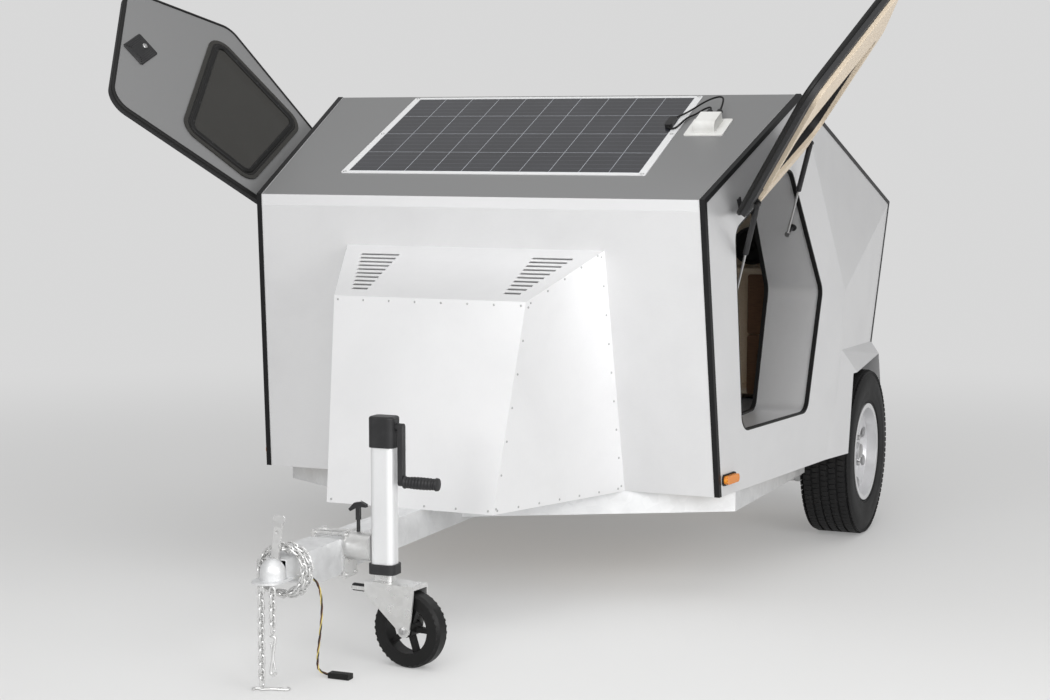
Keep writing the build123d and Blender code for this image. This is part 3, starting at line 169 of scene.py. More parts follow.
class Effects:
    """Shared effects, each built once as a node group."""

    def __init__(self) -> None:
        """Build every group."""
        self.streaks = self._streaks()
        self.smudges = self._smudges()
        self.grain = self._grain()
        self.weave = self._weave()

    def _streaks(self) -> bpy.types.ShaderNodeTree:
        """Fine brushing lines: noise stretched along one direction.

        Returns:
            Group with a Stretch vector and Scale in, and Lines and Broad masks out.
        """
        g = GroupMaker("brushed_streaks")
        g.socket("Stretch", Socket.VECTOR, (1.0, 1.0, 1.0))
        g.socket("Scale", Socket.VALUE, 40.0)
        g.socket("Lines", Socket.VALUE, out=True)
        g.socket("Broad", Socket.VALUE, out=True)
        place = g.node("ShaderNodeTexCoord")
        drawn = g.node("ShaderNodeVectorMath", {0: place.outputs["Object"], 1: g.inputs.outputs["Stretch"]},
                       operation="MULTIPLY")
        fine = g.node("ShaderNodeTexNoise", {"Vector": drawn.outputs[0], "Scale": g.inputs.outputs["Scale"],
                                             "Detail": 6.0, "Roughness": 0.7})
        wide = g.node("ShaderNodeTexNoise", {"Vector": place.outputs["Object"], "Scale": 1.6, "Detail": 3.0})
        g.give("Lines", fine.outputs["Fac"])
        g.give("Broad", wide.outputs["Fac"])
        return g.tree

    def _smudges(self) -> bpy.types.ShaderNodeTree:
        """Soft stains and handling marks.

        Returns:
            Group with Scale and Amount in, and a Mask out.
        """
        g = GroupMaker("smudges")
        g.socket("Scale", Socket.VALUE, 6.0)
        g.socket("Amount", Socket.VALUE, 0.5)
        g.socket("Mask", Socket.VALUE, out=True)
        place = g.node("ShaderNodeTexCoord")
        cloud = g.node("ShaderNodeTexNoise", {"Vector": place.outputs["Object"], "Scale": g.inputs.outputs["Scale"],
                                              "Detail": 5.0, "Roughness": 0.6, "Distortion": 0.4})
        ramp = g.node("ShaderNodeMapRange", {"Value": cloud.outputs["Fac"], "From Min": 0.42, "From Max": 0.72})
        mask = g.node("ShaderNodeMath", {0: ramp.outputs[0], 1: g.inputs.outputs["Amount"]}, operation="MULTIPLY")
        g.give("Mask", mask.outputs[0])
        return g.tree

    def _grain(self) -> bpy.types.ShaderNodeTree:
        """Fine moulded grain for plastic and rubber.

        Returns:
            Group with Scale in, and Height and Mottle out.
        """
        g = GroupMaker("moulded_grain")
        g.socket("Scale", Socket.VALUE, 900.0)
        g.socket("Height", Socket.VALUE, out=True)
        g.socket("Mottle", Socket.VALUE, out=True)
        place = g.node("ShaderNodeTexCoord")
        spot, scale = place.outputs["Object"], g.inputs.outputs["Scale"]
        cells = g.node("ShaderNodeTexVoronoi", {"Vector": spot, "Scale": scale})
        cloud = g.node("ShaderNodeTexNoise", {"Vector": spot, "Scale": 14.0, "Detail": 6.0})
        g.give("Height", cells.outputs["Distance"])
        g.give("Mottle", cloud.outputs["Fac"])
        return g.tree

    def _weave(self) -> bpy.types.ShaderNodeTree:
        """Plain weave: two crossed sets of threads.

        Returns:
            Group with Scale in, and Height and Fleck out.
        """
        g = GroupMaker("plain_weave")
        g.socket("Scale", Socket.VALUE, 260.0)
        g.socket("Height", Socket.VALUE, out=True)
        g.socket("Fleck", Socket.VALUE, out=True)
        place = g.node("ShaderNodeTexCoord")
        warp = g.node("ShaderNodeTexWave", {"Vector": place.outputs["Object"], "Scale": g.inputs.outputs["Scale"],
                                            "Distortion": 0.6}, wave_type="BANDS", bands_direction="X")
        weft = g.node("ShaderNodeTexWave", {"Vector": place.outputs["Object"], "Scale": g.inputs.outputs["Scale"],
                                            "Distortion": 0.6}, wave_type="BANDS", bands_direction="Y")
        both = g.node("ShaderNodeMath", {0: warp.outputs["Fac"], 1: weft.outputs["Fac"]}, operation="MAXIMUM")
        fleck = g.node("ShaderNodeTexNoise", {"Vector": place.outputs["Object"], "Scale": 180.0, "Detail": 3.0})
        g.give("Height", both.outputs[0])
        g.give("Fleck", fleck.outputs["Fac"])
        return g.tree


@dataclass(frozen=True)
class Finish:
    """A material's plain facts; subclasses add its pattern."""

    name: str
    colour: Colour
    roughness: float
    metallic: float = 0.0
    second: Colour = (0.5, 0.5, 0.5)
    scale: float = 1.0
    bump: float = 0.0
    coat: float = 0.0

    def shader(self) -> tuple[bpy.types.Material, bpy.types.ShaderNodeTree, bpy.types.Node]:
        """Start the material with its plain values.

        Returns:
            The material, its tree and its shader.
        """
        material = bpy.data.materials.new(self.name)
        material.use_nodes = True
        tree = material.node_tree
        tree.nodes.clear()
        out = tree.nodes.new("ShaderNodeOutputMaterial")
        shader = tree.nodes.new("ShaderNodeBsdfPrincipled")
        tree.links.new(shader.outputs[0], out.inputs["Surface"])
        shader.inputs["Base Color"].default_value = (*self.colour, 1.0)
        shader.inputs["Roughness"].default_value = self.roughness
        shader.inputs["Metallic"].default_value = self.metallic
        shader.inputs["Coat Weight"].default_value = self.coat
        return material, tree, shader

    def build(self, effects: Effects) -> bpy.types.Material:
        """Make the material; each kind of finish says how.

        Args:
            effects: The shared node groups.

        Returns:
            The material.
        """
        raise NotImplementedError(self.name)

    @staticmethod
    def group(tree: bpy.types.ShaderNodeTree, group: bpy.types.ShaderNodeTree, **values: object) -> bpy.types.Node:
        """Place a node group and set its inputs by name."""
        node = tree.nodes.new("ShaderNodeGroup")
        node.node_tree = group
        for key, value in values.items():
            node.inputs[key].default_value = value
        return node

    @staticmethod
    def mix(tree: bpy.types.ShaderNodeTree, shader: bpy.types.Node, first: object, second: object,
            mask: bpy.types.NodeSocket, target: str | None = "Base Color") -> bpy.types.NodeSocket:
        """Mix two colours, constants or sockets, by a mask.

        Args:
            tree: The material's tree.
            shader: Its shader.
            first: Colour or socket where the mask is 0.
            second: Colour or socket where the mask is 1.
            mask: The mask's socket.
            target: Shader input to feed, or None.

        Returns:
            The mixed colour's socket.
        """
        node = tree.nodes.new("ShaderNodeMix")
        node.data_type = "RGBA"
        tree.links.new(mask, node.inputs[0])
        for value, plug in ((first, node.inputs[6]), (second, node.inputs[7])):
            if isinstance(value, bpy.types.NodeSocket):
                tree.links.new(value, plug)
            else:
                plug.default_value = (*value, 1.0)
        if target:
            tree.links.new(node.outputs[2], shader.inputs[target])
        return node.outputs[2]

    @staticmethod
    def spread(tree: bpy.types.ShaderNodeTree, shader: bpy.types.Node, mask: bpy.types.NodeSocket, low: float,
               high: float, target: str | None = "Roughness") -> bpy.types.NodeSocket:
        """Turn a mask into a range of values and feed it to the shader."""
        node = tree.nodes.new("ShaderNodeMapRange")
        tree.links.new(mask, node.inputs["Value"])
        node.inputs["To Min"].default_value = low
        node.inputs["To Max"].default_value = high
        if target:
            tree.links.new(node.outputs[0], shader.inputs[target])
        return node.outputs[0]

    @staticmethod
    def raise_by(tree: bpy.types.ShaderNodeTree, shader: bpy.types.Node, height: bpy.types.NodeSocket,
                 strength: float, distance: float = 0.001) -> None:
        """Feed a height to a bump node and on to the normal."""
        node = tree.nodes.new("ShaderNodeBump")
        node.inputs["Strength"].default_value = strength
        node.inputs["Distance"].default_value = distance
        tree.links.new(height, node.inputs["Height"])
        tree.links.new(node.outputs[0], shader.inputs["Normal"])

    @staticmethod
    def compare(tree: bpy.types.ShaderNodeTree, source: bpy.types.NodeSocket, edge: float, soft: float,
                above: bool = True) -> bpy.types.NodeSocket:
        """Mask that is 1 above (or below) a value, over a soft step."""
        node = tree.nodes.new("ShaderNodeMapRange")
        tree.links.new(source, node.inputs["Value"])
        node.inputs["From Min"].default_value = edge - soft if above else edge + soft
        node.inputs["From Max"].default_value = edge + soft if above else edge - soft
        return node.outputs[0]


@dataclass(frozen=True)
class BrushedSheet(Finish):
    """Metal sheet with fine brushing along one direction."""

    stretch: Point = (1.0, 1.0, 1.0)
    contrast: float = 0.06
    marks: float = 0.25
    line_depth: float = 0.0004

    def build(self, effects: Effects) -> bpy.types.Material:
        """Make the material, its lines in colour, roughness and bump.

        Args:
            effects: The shared node groups.

        Returns:
            The material.
        """
        material, tree, shader = self.shader()
        lines = self.group(tree, effects.streaks, Stretch=self.stretch, Scale=self.scale)
        marks = self.group(tree, effects.smudges, Scale=2.4, Amount=0.7)
        darker = tuple(c * (1 - self.contrast) for c in self.colour)
        lighter = tuple(min(1.0, c * (1 + self.contrast / 2)) for c in self.colour)
        brushed = self.mix(tree, shader, darker, lighter, lines.outputs["Lines"], None)
        marked = self.spread(tree, shader, marks.outputs["Mask"], 0, self.marks, None)
        self.mix(tree, shader, brushed, self.second, marked)
        self.spread(tree, shader, lines.outputs["Broad"], self.roughness * 0.85, self.roughness * 1.2)
        self.raise_by(tree, shader, lines.outputs["Lines"], self.bump, self.line_depth)
        return material


@dataclass(frozen=True)
class Moulded(Finish):
    """Plastic or rubber with a fine grain and a faint mottle."""

    dust: float = 0.15
    sheen: float = 0.25
    mottle_edge: float = 0.56
    mottle_soft: float = 0.12

    def build(self, effects: Effects) -> bpy.types.Material:
        """Make the material, with its grain as bump and dust in its colour.

        Args:
            effects: The shared node groups.

        Returns:
            The material.
        """
        material, tree, shader = self.shader()
        shader.inputs["Specular IOR Level"].default_value = self.sheen
        grain = self.group(tree, effects.grain, Scale=self.scale)
        mask = self.compare(tree, grain.outputs["Mottle"], self.mottle_edge, self.mottle_soft)
        self.mix(tree, shader, self.colour, self.second, self.spread(tree, shader, mask, 0, self.dust, None))
        self.spread(tree, shader, grain.outputs["Mottle"], self.roughness * 0.8, min(1.0, self.roughness * 1.2))
        self.raise_by(tree, shader, grain.outputs["Height"], self.bump)
        return material


@dataclass(frozen=True)
class Galvanised(Finish):
    """Zinc-coated steel with its crystals and dull patches."""

    patches: float = 0.5
    crystal_tone: float = 1.08

    def build(self, effects: Effects) -> bpy.types.Material:
        """Make the material, with crystals in colour and roughness.

        Args:
            effects: The shared node groups.

        Returns:
            The material.
        """
        material, tree, shader = self.shader()
        place = tree.nodes.new("ShaderNodeTexCoord")
        crystals = tree.nodes.new("ShaderNodeTexVoronoi")
        crystals.inputs["Scale"].default_value = self.scale
        tree.links.new(place.outputs["Object"], crystals.inputs["Vector"])
        tone = tree.nodes.new("ShaderNodeSeparateColor")
        tree.links.new(crystals.outputs["Color"], tone.inputs[0])
        marks = self.group(tree, effects.smudges, Scale=9.0, Amount=0.8)
        lighter = tuple(min(1.0, c * self.crystal_tone) for c in self.colour)
        plated = self.mix(tree, shader, self.colour, lighter, tone.outputs[0], None)
        dull = self.spread(tree, shader, marks.outputs["Mask"], 0, self.patches, None)
        self.mix(tree, shader, plated, self.second, dull)
        self.spread(tree, shader, tone.outputs[1], self.roughness * 0.8, self.roughness * 1.25)
        self.raise_by(tree, shader, marks.outputs["Mask"], self.bump)
        return material


@dataclass(frozen=True)
class Plywood(Finish):
    """Birch or walnut face veneer, its grain along X."""

    stretch: Point = (1.0, 9.0, 9.0)
    grain_edge: float = 0.52
    grain_soft: float = 0.16
    grain_depth: float = 0.0006

    def build(self, effects: Effects) -> bpy.types.Material:
        """Make the material, with growth rings drawn out into grain.

        Args:
            effects: The shared node groups.

        Returns:
            The material.
        """
        material, tree, shader = self.shader()
        lines = self.group(tree, effects.streaks, Stretch=self.stretch, Scale=self.scale)
        mask = self.compare(tree, lines.outputs["Lines"], self.grain_edge, self.grain_soft)
        self.mix(tree, shader, self.colour, self.second, mask)
        self.spread(tree, shader, lines.outputs["Broad"], self.roughness * 0.85, self.roughness * 1.15)
        self.raise_by(tree, shader, lines.outputs["Lines"], self.bump, self.grain_depth)
        return material


@dataclass(frozen=True)
class Cloth(Finish):
    """Woven cover."""

    fuzz: float = 0.25
    fleck_edge: float = 0.55
    fleck_soft: float = 0.1
    shine: tuple[float, float] = (0.8, 0.95)

    def build(self, effects: Effects) -> bpy.types.Material:
        """Make the material, with threads as bump and flecks of a second yarn.

        Args:
            effects: The shared node groups.

        Returns:
            The material.
        """
        material, tree, shader = self.shader()
        weave = self.group(tree, effects.weave, Scale=self.scale)
        mask = self.compare(tree, weave.outputs["Fleck"], self.fleck_edge, self.fleck_soft)
        self.mix(tree, shader, self.colour, self.second, mask)
        self.spread(tree, shader, weave.outputs["Height"], *self.shine)
        self.raise_by(tree, shader, weave.outputs["Height"], self.bump)
        shader.inputs["Sheen Weight"].default_value = self.fuzz
        return material


@dataclass(frozen=True)
class Lens(Finish):
    """Ribbed translucent lamp lens."""

    transmission: float = 0.25

    def build(self, effects: Effects) -> bpy.types.Material:
        """Make the material, with moulded prisms as bump.

        Args:
            effects: The shared node groups.

        Returns:
            The material.
        """
        material, tree, shader = self.shader()
        place = tree.nodes.new("ShaderNodeTexCoord")
        ribs = tree.nodes.new("ShaderNodeTexWave")
        ribs.inputs["Scale"].default_value = self.scale
        tree.links.new(place.outputs["Object"], ribs.inputs["Vector"])
        self.mix(tree, shader, self.colour, self.second, ribs.outputs["Fac"])
        marks = self.group(tree, effects.smudges, Scale=12.0, Amount=0.4)
        self.spread(tree, shader, marks.outputs["Mask"], self.roughness, self.roughness + 0.15)
        self.raise_by(tree, shader, ribs.outputs["Fac"], self.bump)
        shader.inputs["Transmission Weight"].default_value = self.transmission
        return material


@dataclass(frozen=True)
class TintedGlass(Finish):
    """Dark window glass with faint marks."""

    see_through: float = 0.35

    def build(self, effects: Effects) -> bpy.types.Material:
        """Make the material, see-through by its alpha.

        Args:
            effects: The shared node groups.

        Returns:
            The material.
        """
        material, tree, shader = self.shader()
        marks = self.group(tree, effects.smudges, Scale=3.0, Amount=0.5)
        self.mix(tree, shader, self.colour, self.second, marks.outputs["Mask"])
        self.spread(tree, shader, marks.outputs["Mask"], self.roughness, self.roughness + 0.08)
        shader.inputs["Alpha"].default_value = 1 - self.see_through
        return material


@dataclass(frozen=True)
class SolarCells(Finish):
    """Dark cells with fine grid lines and a pale border, laid out up the roof's slope."""

    slope: float = 0.0
    cell_up: float = 0.1
    cell_across: float = 0.1
    up_from: float = 0.0
    up_to: float = 1.0
    left: float = 0.5
    right: float = -0.5
    border: float = 0.0004
    gap: float = 0.0022
    busbar: float = 0.0008
    busbars: int = 5
    grid: Colour = (0.42, 0.44, 0.48)

    def build(self, effects: Effects) -> bpy.types.Material:
        """Make the material from the distance up the slope and across it.

        Args:
            effects: The shared node groups.

        Returns:
            The material.
        """
        material, tree, shader = self.shader()
        place = tree.nodes.new("ShaderNodeTexCoord")
        laid = tree.nodes.new("ShaderNodeMapping")
        laid.vector_type = "POINT"
        laid.inputs["Rotation"].default_value = (0.0, self.slope, 0.0)
        tree.links.new(place.outputs["Object"], laid.inputs["Vector"])
        parts = tree.nodes.new("ShaderNodeSeparateXYZ")
        tree.links.new(laid.outputs[0], parts.inputs[0])
        inside = self._inside(tree, parts)
        lines = self._lines(tree, parts)
        marks = self.group(tree, effects.smudges, Scale=4.0, Amount=0.5)
        cell = self.mix(tree, shader, self.colour, tuple(c * 1.8 + 0.01 for c in self.colour), marks.outputs["Mask"],
                        None)
        grid = self.mix(tree, shader, cell, self.grid, lines, None)
        self.mix(tree, shader, self.second, grid, inside)
        self.spread(tree, shader, marks.outputs["Mask"], self.roughness, self.roughness + 0.12)
        return material

    def _inside(self, tree: bpy.types.ShaderNodeTree, parts: bpy.types.Node) -> bpy.types.NodeSocket:
        """Mask of the active area.

        Args:
            tree: The material's tree.
            parts: Node that splits the laid-out coordinates.

        Returns:
            The mask's socket.
        """
        masks = [
            self.compare(tree, parts.outputs[0], self.up_from, self.border),
            self.compare(tree, parts.outputs[0], self.up_to, self.border, above=False),
            self.compare(tree, parts.outputs[1], self.right, self.border),
            self.compare(tree, parts.outputs[1], self.left, self.border, above=False),
        ]
        return self._combine(tree, masks, "MULTIPLY")

    def _lines(self, tree: bpy.types.ShaderNodeTree, parts: bpy.types.Node) -> bpy.types.NodeSocket:
        """Mask of the gaps between cells and of their fine busbars.

        Args:
            tree: The material's tree.
            parts: Node that splits the laid-out coordinates.

        Returns:
            The mask's socket.
        """
        masks = []
        rulings = (
            (parts.outputs[0], self.cell_up, self.up_from, self.gap, 0.9),
            (parts.outputs[1], self.cell_across, self.right, self.gap, 0.9),
            (parts.outputs[0], self.cell_up / self.busbars, self.up_from, self.busbar, 0.3),
        )
        for source, pitch, start, width, weight in rulings:
            shift = tree.nodes.new("ShaderNodeMath")
            shift.operation = "SUBTRACT"
            shift.inputs[1].default_value = start - pitch * 100  # whole pitches, so that no distance is negative
            tree.links.new(source, shift.inputs[0])
            wrap = tree.nodes.new("ShaderNodeMath")
            wrap.operation = "PINGPONG"
            wrap.inputs[1].default_value = pitch / 2
            tree.links.new(shift.outputs[0], wrap.inputs[0])
            near = self.compare(tree, wrap.outputs[0], width / 2, width / 6, above=False)
            masks.append(self.spread(tree, None, near, 0.0, weight, None))
        return self._combine(tree, masks, "MAXIMUM")

    @staticmethod
    def _combine(tree: bpy.types.ShaderNodeTree, masks: list[bpy.types.NodeSocket],
                 operation: str) -> bpy.types.NodeSocket:
        """Join masks one after another with a math operation."""
        result = masks[0]
        for mask in masks[1:]:
            node = tree.nodes.new("ShaderNodeMath")
            node.operation = operation
            tree.links.new(result, node.inputs[0])
            tree.links.new(mask, node.inputs[1])
            result = node.outputs[0]
        return result


@dataclass(frozen=True)
class DoorSheet(BrushedSheet):
    """Sheet with a brushed outer face and an edge of its own colour, told apart by the surface's direction."""

    facing: Point = (0.0, 1.0, 0.0)
    edge: Colour = (0.012, 0.012, 0.013)
    edge_roughness: float = 0.6
    turned: float = 0.9
    turned_soft: float = 0.03

    def build(self, effects: Effects) -> bpy.types.Material:
        """Make the material, in the edge's colour where the surface turns away from the outer face.

        Args:
            effects: The shared node groups.

        Returns:
            The material.
        """
        material, tree, shader = self.shader()
        lines = self.group(tree, effects.streaks, Stretch=self.stretch, Scale=self.scale)
        place = tree.nodes.new("ShaderNodeTexCoord")
        turn = tree.nodes.new("ShaderNodeVectorMath")
        turn.operation = "DOT_PRODUCT"
        turn.inputs[1].default_value = self.facing
        tree.links.new(place.outputs["Normal"], turn.inputs[0])
        outside = self.compare(tree, turn.outputs["Value"], self.turned, self.turned_soft)
        lighter = tuple(min(1.0, c * (1 + self.contrast)) for c in self.colour)
        brushed = self.mix(tree, shader, self.colour, lighter, lines.outputs["Lines"], None)
        self.mix(tree, shader, self.edge, brushed, outside)
        self.spread(tree, shader, outside, self.edge_roughness, self.roughness)
        self.spread(tree, shader, outside, 0.0, self.metallic, "Metallic")
        self.raise_by(tree, shader, lines.outputs["Lines"], self.bump, self.line_depth)
        return material


class Bench:
    """Modelling moves as by hand: add a primitive, pick by place, shape it and finish it."""

    @staticmethod
    def clear() -> None:
        """Leave edit mode and deselect everything."""
        if bpy.context.object and bpy.context.object.mode != "OBJECT":
            bpy.ops.object.mode_set(mode="OBJECT")
        bpy.ops.object.select_all(action="DESELECT")

    @staticmethod
    def take(piece: bpy.types.Object) -> bpy.types.Object:
        """Select one piece alone and make it active."""
        Bench.clear()
        piece.select_set(True)
        bpy.context.view_layer.objects.active = piece
        return piece

    @staticmethod
    def named(name: str) -> bpy.types.Object:
        """Name the new active piece and its mesh."""
        piece = bpy.context.object
        piece.name = name
        piece.data.name = name
        return piece

    @staticmethod
    def settle(piece: bpy.types.Object) -> bpy.types.Object:
        """Move the piece's place, turn and scale into its mesh."""
        Bench.take(piece)
        bpy.ops.object.transform_apply(location=True, rotation=True, scale=True)
        return piece

    @staticmethod
    def box(name: str, low: Sequence[float], high: Sequence[float], bevel: float = 0.0,
            segments: int = 2) -> bpy.types.Object:
        """Block between two corners, with rounded edges.

        Args:
            name: The piece's name.
            low: Lowest corner.
            high: Highest corner.
            bevel: Radius of the rounded edges.
            segments: Steps of the rounding.

        Returns:
            The new piece.
        """
        Bench.clear()
        a, b = Vector(low), Vector(high)
        bpy.ops.mesh.primitive_cube_add(size=1.0, location=(a + b) / 2, scale=b - a)
        piece = Bench.settle(Bench.named(name))
        return Bench.rounded(piece, bevel, segments) if bevel else piece

    @staticmethod
    def rounded(piece: bpy.types.Object, width: float, segments: int = 2, angle: float = 30.0) -> bpy.types.Object:
        """Round the piece's sharp edges and smooth its shading."""
        Bench.take(piece)
        bevel = piece.modifiers.new("rounding", "BEVEL")
        bevel.width = width
        bevel.segments = segments
        bevel.limit_method = "ANGLE"
        bevel.angle_limit = math.radians(angle)
        bpy.ops.object.modifier_apply(modifier=bevel.name)
        bpy.ops.object.shade_smooth_by_angle(angle=SMOOTH_ANGLE)
        return piece

    @staticmethod
    def aim(piece: bpy.types.Object, place: Sequence[float], axis: Sequence[float]) -> bpy.types.Object:
        """Turn a piece made along Z to an axis, put it at its place and settle it."""
        piece.rotation_mode = "QUATERNION"
        piece.rotation_quaternion = Vector(axis).to_track_quat("Z", "Y")
        piece.location = place
        return Bench.settle(piece)

    @staticmethod
    def turned(name: str, profile: Sequence[tuple[float, float]], place: Sequence[float], axis: Sequence[float],
               segments: int = 32, smooth: float = 35.0) -> bpy.types.Object:
        """Lathe work: a ring extruded and resized along its axis, closed at both ends.

        Args:
            name: The piece's name.
            profile: Radius and height of each station.
            place: The axis's foot.
            axis: Direction of the heights.
            segments: Steps round the axis.
            smooth: Largest angle in degrees that is shaded smooth.

        Returns:
            The new piece.
        """
        Bench.clear()
        radius, height = profile[0]
        bpy.ops.mesh.primitive_circle_add(vertices=segments, radius=radius, location=(0, 0, height),
                                          fill_type="NOTHING")
        piece = Bench.settle(Bench.named(name))
        closed = profile[0] == profile[-1]
        bpy.ops.object.mode_set(mode="EDIT")
        bpy.ops.mesh.select_all(action="SELECT")
        if not closed:
            bpy.ops.mesh.edge_face_add()
        for (r0, h0), (r1, h1) in zip(profile, profile[1:]):
            bpy.ops.mesh.extrude_edges_move(TRANSFORM_OT_translate={"value": (0, 0, h1 - h0)})
            share = r1 / r0
            bpy.ops.transform.resize(value=(share, share, 1), center_override=(0, 0, h1))
        if not closed:
            bpy.ops.mesh.edge_face_add()
        bpy.ops.mesh.select_all(action="SELECT")
        bpy.ops.mesh.remove_doubles(threshold=0.00001)
        bpy.ops.mesh.normals_make_consistent(inside=False)
        bpy.ops.object.mode_set(mode="OBJECT")
        bpy.ops.object.shade_smooth_by_angle(angle=math.radians(smooth))
        return Bench.aim(piece, place, axis)

    @staticmethod
    def bar(name: str, points: Sequence[Sequence[float]], radius: float, smooth: bool = True, closed: bool = False,
            sides: int = 4) -> bpy.types.Object:
        """Round bar along points: a beveled curve made a mesh.

        Args:
            name: The piece's name.
            points: Points along the bar.
            radius: The bar's radius.
            smooth: True for a flowing line, False for straight runs.
            closed: True for an endless bar.
            sides: Bevel steps of the round section.

        Returns:
            The new piece.
        """
        Bench.clear()
        curve = bpy.data.curves.new(name, "CURVE")
        curve.dimensions = "3D"
        curve.bevel_depth = radius
        curve.bevel_resolution = sides
        curve.use_fill_caps = not closed
        spline = curve.splines.new("NURBS" if smooth else "POLY")
        spline.points.add(len(points) - 1)
        for spot, point in zip(spline.points, points):
            spot.co = (*point, 1.0)
        if smooth:
            spline.order_u = 3
            spline.use_endpoint_u = not closed
            spline.resolution_u = 6
        spline.use_cyclic_u = closed
        piece = bpy.data.objects.new(name, curve)
        bpy.context.scene.collection.objects.link(piece)
        Bench.take(piece)
        bpy.ops.object.convert(target="MESH")
        bpy.ops.object.shade_smooth_by_angle(angle=SMOOTH_ANGLE)
        return bpy.context.object

    @staticmethod
    def repeated(name: str, pattern: bpy.types.Object, places: Iterable[Matrix]) -> bpy.types.Object:
        """Copy a pattern to each place, join the copies into one piece and drop the pattern.

        Args:
            name: The joined piece's name.
            pattern: The piece modelled once, at the origin.
            places: Where each copy goes.

        Returns:
            The joined piece.
        """
        copies = []
        for place in places:
            twin = pattern.copy()
            twin.data = pattern.data.copy()
            twin.data.transform(place)
            bpy.context.scene.collection.objects.link(twin)
            copies.append(twin)
        bpy.data.objects.remove(pattern)
        return Bench.joined(name, copies)

    @staticmethod
    def joined(name: str, pieces: Sequence[bpy.types.Object]) -> bpy.types.Object:
        """Join several pieces into one and name it."""
        Bench.take(pieces[0])
        for piece in pieces:
            piece.select_set(True)
        bpy.ops.object.join()
        return Bench.named(name)

    @staticmethod
    def facing(place: Sequence[float], axis: Sequence[float]) -> Matrix:
        """Placement of a pattern made along Z, turned to an axis at a place."""
        return Matrix.Translation(Vector(place)) @ Vector(axis).to_track_quat("Z", "Y").to_matrix().to_4x4()


class Finishes:
    """Every finish of the trailer, made once and found by name."""

    def __init__(self) -> None:
        """Build the materials from their finishes."""
        effects = Effects()
        table = (
            BrushedSheet("body_sheet", (0.76, 0.76, 0.765), 0.34, 0.6, (0.5, 0.5, 0.51), 60.0, 0.12,
                         stretch=(1.0, 1.0, 14.0), contrast=0.05),
            # roof_sheet wears the painted reflection grey: silver metal darkened as if it mirrored a dark ceiling.
            BrushedSheet("roof_sheet", ROOF_PAINTED_REFLECTION_GREY, 0.4, 0.6, ROOF_MARKS_IN_PAINTED_REFLECTION, 60.0, 0.1,
                         stretch=(1.0, 14.0, 1.0), contrast=0.05),
            BrushedSheet("nose_sheet", (0.84, 0.84, 0.845), 0.38, 0.6, (0.6, 0.6, 0.61), 60.0, 0.12,
                         stretch=(1.0, 12.0, 1.0), contrast=0.04),
            Moulded("black_trim", (0.005, 0.005, 0.0055), 0.42, 0.0, (0.014, 0.014, 0.014), 700.0, 0.05),
            Moulded("rubber", (0.006, 0.006, 0.006), 0.5, 0.0, (0.018, 0.0175, 0.017), 900.0, 0.1),
            Moulded("tyre", (0.007, 0.007, 0.0075), 0.6, 0.0, (0.022, 0.021, 0.02), 600.0, 0.12, dust=0.2),
            BrushedSheet("rim_alloy", (0.72, 0.72, 0.73), 0.3, 0.6, (0.4, 0.4, 0.4), 90.0, 0.08,
                         stretch=(1.0, 1.0, 1.0), contrast=0.06),
            TintedGlass("tint_glass", (0.022, 0.021, 0.018), 0.09, 0.0, (0.03, 0.029, 0.026), see_through=0.08),
            Plywood("birch", (0.77, 0.665, 0.53), 0.5, 0.0, (0.67, 0.545, 0.4), 26.0, 0.08, stretch=(1.0, 7.0, 7.0)),
            Plywood("brown_panel", (0.19, 0.095, 0.045), 0.42, 0.0, (0.11, 0.05, 0.022), 30.0, 0.06,
                    stretch=(7.0, 1.0, 7.0)),
            BrushedSheet("steel", (0.5, 0.5, 0.5), 0.3, 0.9, (0.3, 0.29, 0.28), 120.0, 0.08, contrast=0.08),
            Galvanised("zinc", (0.66, 0.66, 0.655), 0.32, 0.75, (0.5, 0.495, 0.48), 60.0, 0.05),
            SolarCells("solar_cells", (0.012, 0.013, 0.018), 0.2, 0.0, (0.74, 0.745, 0.75), coat=0.3, slope=2.7227,
                       cell_up=0.16975, cell_across=0.1166, up_from=0.37393, up_to=1.05293, left=0.575,
                       right=-0.591),
            Moulded("wire_brown", (0.11, 0.05, 0.03), 0.5, 0.0, (0.2, 0.12, 0.08), 900.0, 0.05),
            Moulded("wire_black", (0.015, 0.015, 0.015), 0.5, 0.0, (0.06, 0.06, 0.06), 900.0, 0.05),
            Moulded("wire_yellow", (0.62, 0.5, 0.16), 0.5, 0.0, (0.4, 0.33, 0.15), 900.0, 0.05),
            Moulded("white_plastic", (0.76, 0.76, 0.74), 0.45, 0.0, (0.55, 0.54, 0.5), 800.0, 0.04, dust=0.35),
            Lens("amber_lens", (0.72, 0.16, 0.012), 0.14, 0.0, (0.95, 0.4, 0.05), 90.0, 0.3),
            Lens("red_lens", (0.5, 0.01, 0.012), 0.14, 0.0, (0.75, 0.03, 0.03), 90.0, 0.3),
            Galvanised("galvanised", (0.66, 0.665, 0.67), 0.46, 0.5, (0.54, 0.545, 0.55), 34.0, 0.06),
            Cloth("mattress_cloth", (0.13, 0.13, 0.14), 0.9, 0.0, (0.2, 0.2, 0.21), 300.0, 0.35),
            BrushedSheet("jack_paint", (0.76, 0.765, 0.77), 0.36, 0.45, (0.62, 0.62, 0.63), 70.0, 0.06,
                         stretch=(8.0, 8.0, 1.0), contrast=0.06),
            Moulded("jack_black", (0.02, 0.02, 0.021), 0.45, 0.0, (0.08, 0.08, 0.08), 500.0, 0.08),
        )
        self.made = {finish.name: finish.build(effects) for finish in table}
        self.effects = effects

    def __getitem__(self, name: str) -> bpy.types.Material:
        """The material of that name."""
        return self.made[name]

    def add(self, finish: Finish) -> bpy.types.Material:
        """Build one more finish and keep it."""
        self.made[finish.name] = finish.build(self.effects)
        return self.made[finish.name]

    def put(self, piece: bpy.types.Object, name: str, slot: str | None = None) -> bpy.types.Object:
        """Give a new piece its material.

        Args:
            piece: The piece.
            name: The material's name.
            slot: Not used.

        Returns:
            The piece.
        """
        piece.data.materials.clear()
        piece.data.materials.append(self.made[name])
        return piece


